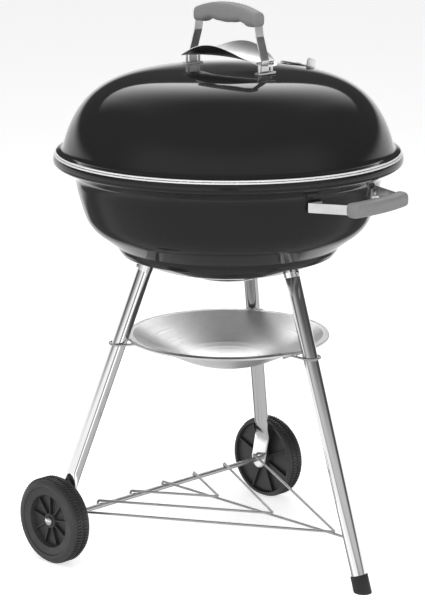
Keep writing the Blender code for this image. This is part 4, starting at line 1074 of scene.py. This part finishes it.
def make_wheel(name, side):
    centre = Vector((side * WHEEL_CENTRE_X, AXLE_Y, WHEEL_RADIUS))
    place = along(centre, (side, 0, 0), across=(0, 0, 1))
    top = WHEEL_WIDTH / 2
    r = WHEEL_RADIUS
    bm = lathe(wheel_loop(), 144, closed=True, place=place)
    for index in range(SPOKES):
        turn = place @ Matrix.Rotation(2 * math.pi * index / SPOKES, 4, "Z")
        low = (0.0125, -SPOKE_HALF, top - 0.0150)
        add_box(bm, turn, low, (r * 0.590, SPOKE_HALF, top - 0.0085))
    for index in range(RIBS):
        turn = place @ Matrix.Rotation(2 * math.pi * (index + 0.5) / RIBS, 4, "Z")
        low = (0.0140, -RIB_HALF, -top + 0.0020)
        add_box(bm, turn, low, (r * 0.868, RIB_HALF, -top + 0.0085))
    rows = ((top - 0.0160, top - 0.0068), (-top + 0.0072, top - 0.0205))
    for index in range(LUGS):
        for row, (low, high) in enumerate(rows):
            turn = place @ Matrix.Rotation(2 * math.pi * (index + 0.5 * row) / LUGS, 4, "Z")
            verts = add_box(bm, turn, (r * 0.955, -LUG_HALF, low), (r * 0.9995, LUG_HALF, high))
            outward = (turn @ Vector((r, 0, 0)) - turn.translation).normalized()
            tangent = turn.to_3x3() @ Vector((0, 1, 0))
            for vert in verts:
                from_centre = vert.co - turn.translation
                if from_centre.dot(outward) > r * 0.992:
                    vert.co -= tangent * LUG_TAPER * math.copysign(1, from_centre.dot(tangent))
    show_new(f"wheel_{name}", bm, 40)
    face = centre + Vector((side * (HUB_OUTER + GAP + 0.0002), 0, 0))
    room = AXLE_RADIUS + GAP
    cap = [
        (0, 0.0055), (0.0025, 0.00535), (0.0050, 0.0048), (0.0070, 0.0037), (0.0082, 0.0022),
        (0.0085, 0.0008), (0.0085, 0), (room, 0), (room, 0.0034), (0, 0.0034),
    ]
    place = along(face, (side, 0, 0), across=(0, 0, 1))
    show_new(f"hub_cap_{name}", lathe(cap, 48, place=place))


def make_axle():
    half = WHEEL_CENTRE_X + HUB_OUTER + 0.0032
    section = [(0, half), (AXLE_RADIUS - 0.0005, half), (AXLE_RADIUS, half - 0.0005)]
    section += [(radius, -height) for radius, height in reversed(section)]
    place = along((0, AXLE_Y, WHEEL_RADIUS), (1, 0, 0), across=(0, 0, 1))
    show_new("axle", lathe(section, 32, place=place))


RACK_WIRE = 0.0045
RACK_PITCH = 0.0771  # between wires along the axle
RACK_POINTS = (0.0221, -0.1094, -0.2528)  # the Y of the three bends, nearest the axle first
RACK_END_HEIGHT = 0.0855


def make_rack():
    rest = WHEEL_RADIUS + AXLE_RADIUS + GAP + RACK_WIRE / 2 + 0.0004
    start = Vector((0, AXLE_Y, rest))
    stop = front_leg_point(RACK_END_HEIGHT) + Vector((0, 0.004, 0))

    def hook(at):
        return [at + Vector((0, 0.0080, -0.0090)), at + Vector((0, 0.0080, 0))]

    bm = tube(rounded([*hook(start), stop], 0.003, 5), RACK_WIRE / 2)
    for index, apex_y in enumerate(RACK_POINTS, 1):
        height = start.z + (stop.z - start.z) * (start.y - apex_y) / (start.y - stop.y)
        apex = Vector((0, apex_y, height + RACK_WIRE - 0.0008))
        left = Vector((-index * RACK_PITCH, AXLE_Y, rest))
        right = Vector((index * RACK_PITCH, AXLE_Y, rest))
        path = rounded([*hook(left), apex, *reversed(hook(right))], 0.004, 6)
        tube(path, RACK_WIRE / 2, 16, bm)
    show_new("wire_rack", bm)


# ---- Ash tray and clips ----

TRAY_SHEET = 0.0012
CREASE_RADIUS = 0.0940
CREASE_DEPTH = 0.0346
TRAY_DISH_SAG = 0.0230
TRAY_ROLL = 0.0042  # the rolled edge's depth
CLIP_WIRE_RADIUS = 0.0020
CLIP_HALF_WIDTH = 0.0164
CLIP_TIP_REACH = 0.1450
CLIP_ARM_REACH = TRAY_RADIUS - 0.0090


def make_tray():
    edge = TRAY_RADIUS
    sphere = (CREASE_RADIUS**2 + TRAY_DISH_SAG**2) / (2 * TRAY_DISH_SAG)
    bottom = TRAY_HEIGHT - CREASE_DEPTH - TRAY_DISH_SAG + TRAY_SHEET + 0.0004
    dish = []
    steps = 9
    for step in range(1, steps + 1):
        radius = CREASE_RADIUS * (1 - step / steps)
        dish.append((radius, bottom + sphere - math.sqrt(sphere**2 - radius**2)))
    top = rounded(
        [
            (edge, TRAY_HEIGHT - TRAY_ROLL), (edge, TRAY_HEIGHT), (edge - 0.0100, TRAY_HEIGHT),
            (edge - 0.0142, TRAY_HEIGHT - 0.0022),
            (CREASE_RADIUS + 0.0020, TRAY_HEIGHT - CREASE_DEPTH + TRAY_SHEET + 0.0012),
        ]
        + dish,
        0.0030,
        6,
    )
    under = offset(top, -TRAY_SHEET)
    under[-1] = (0, under[-1][1])
    under[0] = (edge - TRAY_SHEET, top[0][1])
    show_new("ash_tray", lathe(top + under[::-1], closed=True))


def make_clip(leg):
    """A hairpin round the leg whose arms run in under the tray's flange and follow its wall."""
    arm_height = TRAY_HEIGHT - TRAY_ROLL - GAP - CLIP_WIRE_RADIUS - 0.0004
    centre = leg_point(leg, arm_height)
    reach = math.hypot(centre.x, centre.y)
    away = Vector((centre.x, centre.y, 0)).normalized()
    sideways = Vector((-away.y, away.x, 0))
    wall = CLIP_ARM_REACH
    slope = (CREASE_DEPTH - TRAY_SHEET) / (wall - CREASE_RADIUS)
    tip = CLIP_TIP_REACH
    tip_height = arm_height - (wall - tip) * slope + 0.0008
    half = CLIP_HALF_WIDTH

    def place(radial, side, height):
        return away * radial + sideways * side + Vector((0, 0, height))

    path = [place(tip, half - 0.001, tip_height), place(wall - 0.001, half - 0.0005, arm_height)]
    for step in range(25):
        angle = math.pi * step / 24
        path.append(place(reach + half * math.sin(angle), half * math.cos(angle), arm_height))
    path += [place(wall - 0.001, 0.0005 - half, arm_height), place(tip, 0.001 - half, tip_height)]
    show_new(f"tray_clip_{leg}", tube(path, CLIP_WIRE_RADIUS))


# ---- Assembly ----

make_lid()
make_lid_strap()
make_lid_grip()
make_heat_shield()
make_lid_fasteners()
make_lid_damper()
make_bowl()
make_bowl_damper()
make_bowl_handle()
make_grate("cooking_grate", 0.0235, (-0.12, 0.12), 0.0)
make_grate("charcoal_grate", 0.0300, (-0.09, 0.09), math.radians(90))
make_front_leg()
make_rear_leg("left")
make_rear_leg("right")
make_foot_cap()
make_wheel("left", -1)
make_wheel("right", 1)
make_axle()
make_rack()
make_tray()
for each_leg in ("front", "left", "right"):
    make_clip(each_leg)

for node, obj in frame["nodes"].items():
    if not obj.hide_render:
        obj.data.shade_smooth()
        obj.data.set_sharp_from_angle(angle=math.radians(32))
        obj.data.materials.clear()
        obj.data.materials.append(MATERIALS[SLOT_OF[node]])

# ---- Stage, light and camera ----


FLOOR_RADIUS = 40
FLOOR_GLOW = 0.62
WHITE = (1, 1, 1, 1)


def make_stage():
    """A pale floor that lights itself a little, and that no reflection shows."""
    bm = bmesh.new()
    bmesh.ops.create_circle(bm, cap_ends=True, segments=96, radius=FLOOR_RADIUS)
    floor = mesh_object("floor", bm)
    paint = Shader("pale_floor", Roughness=0.9, Specular_IOR_Level=0.0)
    paint.set(paint.main, Emission_Color=WHITE, Emission_Strength=FLOOR_GLOW)
    paint.colour(paint.noise(0.5, 2.0), 0.85, 0.87)
    floor.data.materials.append(paint.material)
    floor.visible_glossy = False


class Studio(Nodes):
    """The studio as seen by a reflection: brightness by direction, from soft-edged bands and panels."""

    def __init__(self):
        world = bpy.data.worlds.new("studio")
        SCENE.world = world
        super().__init__(world)
        self.direction = self.add("ShaderNodeTexCoord").outputs["Generated"]
        self.total = None

    def along(self, axis):
        """How far a direction goes along an axis, from -1 to 1."""
        node = self.add("ShaderNodeVectorMath", operation="DOT_PRODUCT")
        node.inputs[1].default_value = axis
        self.link(self.direction, node.inputs[0])
        return node.outputs["Value"]

    def ramp(self, value, start, end, low=0.0, high=1.0):
        """From one level to another as a value goes from start to end."""
        node = self.add("ShaderNodeMapRange", interpolation_type="SMOOTHSTEP")
        self.set(node, From_Min=start, From_Max=end, To_Min=low, To_Max=high)
        self.link(value, node.inputs["Value"])
        return node.outputs["Result"]

    def panel(self, *masks):
        """Adds the product of its masks to the studio's light."""
        light = masks[0]
        for mask in masks[1:]:
            light = self.math("MULTIPLY", light, mask)
        self.total = light if self.total is None else self.math("ADD", self.total, light)

    def finish(self):
        """The camera itself sees an even white backdrop."""
        rays = self.add("ShaderNodeLightPath")
        mix = self.add("ShaderNodeMix", data_type="RGBA")
        mix.inputs[7].default_value = WHITE
        self.link(rays.outputs["Is Camera Ray"], mix.inputs[0])
        self.link(self.total, mix.inputs[6])
        self.link(mix.outputs[2], self.tree.nodes["Background"].inputs["Color"])


HEADING = math.radians(44.549)  # the way the camera looks, clockwise from +Y
AHEAD = (math.sin(HEADING), math.cos(HEADING), 0)
TO_RIGHT = (math.cos(HEADING), -math.sin(HEADING), 0)


def make_world():
    """What reflections see: a pale wall at eye level, a dim floor, and a soft box high behind."""
    studio = Studio()
    ramp = studio.ramp
    up = studio.along((0, 0, 1))
    ahead = studio.along(AHEAD)
    sideways = studio.math("ABSOLUTE", studio.along(TO_RIGHT))
    # A little light from everywhere
    studio.panel(ramp(up, -1, 1, 0.05, 0.08))
    # The pale wall at eye level, all round but for a gap behind the camera
    gap = ramp(sideways, 0.07, 0.16)
    behind_camera = ramp(ahead, -0.5, -0.3)
    open_wall = studio.math("MAXIMUM", gap, behind_camera)
    studio.panel(ramp(up, -0.34, -0.26), ramp(up, 0.16, 0.04, 0.0, 1.05), open_wall)
    # A dimmer wall above it on the camera's side
    camera_side = ramp(ahead, 0.0, -0.6)
    studio.panel(ramp(up, 0.02, 0.25), ramp(up, 0.75, 0.35, 0.0, 0.55), camera_side)
    # The floor on the camera's side
    studio.panel(ramp(up, -0.10, -0.32, 0.0, 0.52), ramp(ahead, 0.62, 0.36, 0.2, 1.0))
    # The floor beyond the grill
    studio.panel(
        ramp(up, -0.76, -0.64, 0.0, 0.85),
        ramp(up, -0.26, -0.34),
        ramp(ahead, 0.3, 0.5),
        ramp(sideways, 0.46, 0.34),
    )
    # The soft box, with a sharp lower edge
    studio.panel(
        ramp(up, 0.405, 0.425),
        ramp(up, 0.97, 0.41, 0.0, 3.2),
        ramp(ahead, -0.1, 0.2),
        ramp(sideways, 0.68, 0.05),
    )
    studio.finish()


def area_light(name, at, target, size, power):
    light = bpy.data.lights.new(name, "AREA")
    light.shape = "RECTANGLE"
    light.size = size[0]
    light.size_y = size[1]
    light.energy = power
    made = bpy.data.objects.new(name, light)
    made.location = at
    made.rotation_mode = "QUATERNION"
    made.rotation_quaternion = (Vector(target) - Vector(at)).to_track_quat("-Z", "Y")
    made.visible_glossy = False
    SCENE.collection.objects.link(made)


CAMERA_TILT = math.radians(13.617)  # down from level
CAMERA_AT = (-2.879, -2.887 + KETTLE_Y, 1.429)
CAMERA_LENS = 148.4


def make_camera():
    camera = bpy.data.cameras.new("camera")
    camera.lens = CAMERA_LENS
    camera.sensor_width = 36.0
    made = bpy.data.objects.new("camera", camera)
    made.location = CAMERA_AT
    made.rotation_euler = (math.pi / 2 - CAMERA_TILT, 0, -HEADING)
    SCENE.collection.objects.link(made)
    SCENE.camera = made


make_stage()
make_world()
make_camera()
area_light("ceiling", (-0.6, -0.4, 3.2), (0, 0, 0.4), (2.4, 2.4), 70)
area_light("left_fill", (-3.0, 0.2, 1.5), (0, 0, 0.6), (1.5, 1.5), 26)
area_light("right_fill", (1.2, -3.0, 1.5), (0, 0, 0.6), (1.5, 1.5), 26)
SCENE.view_settings.view_transform = "Standard"
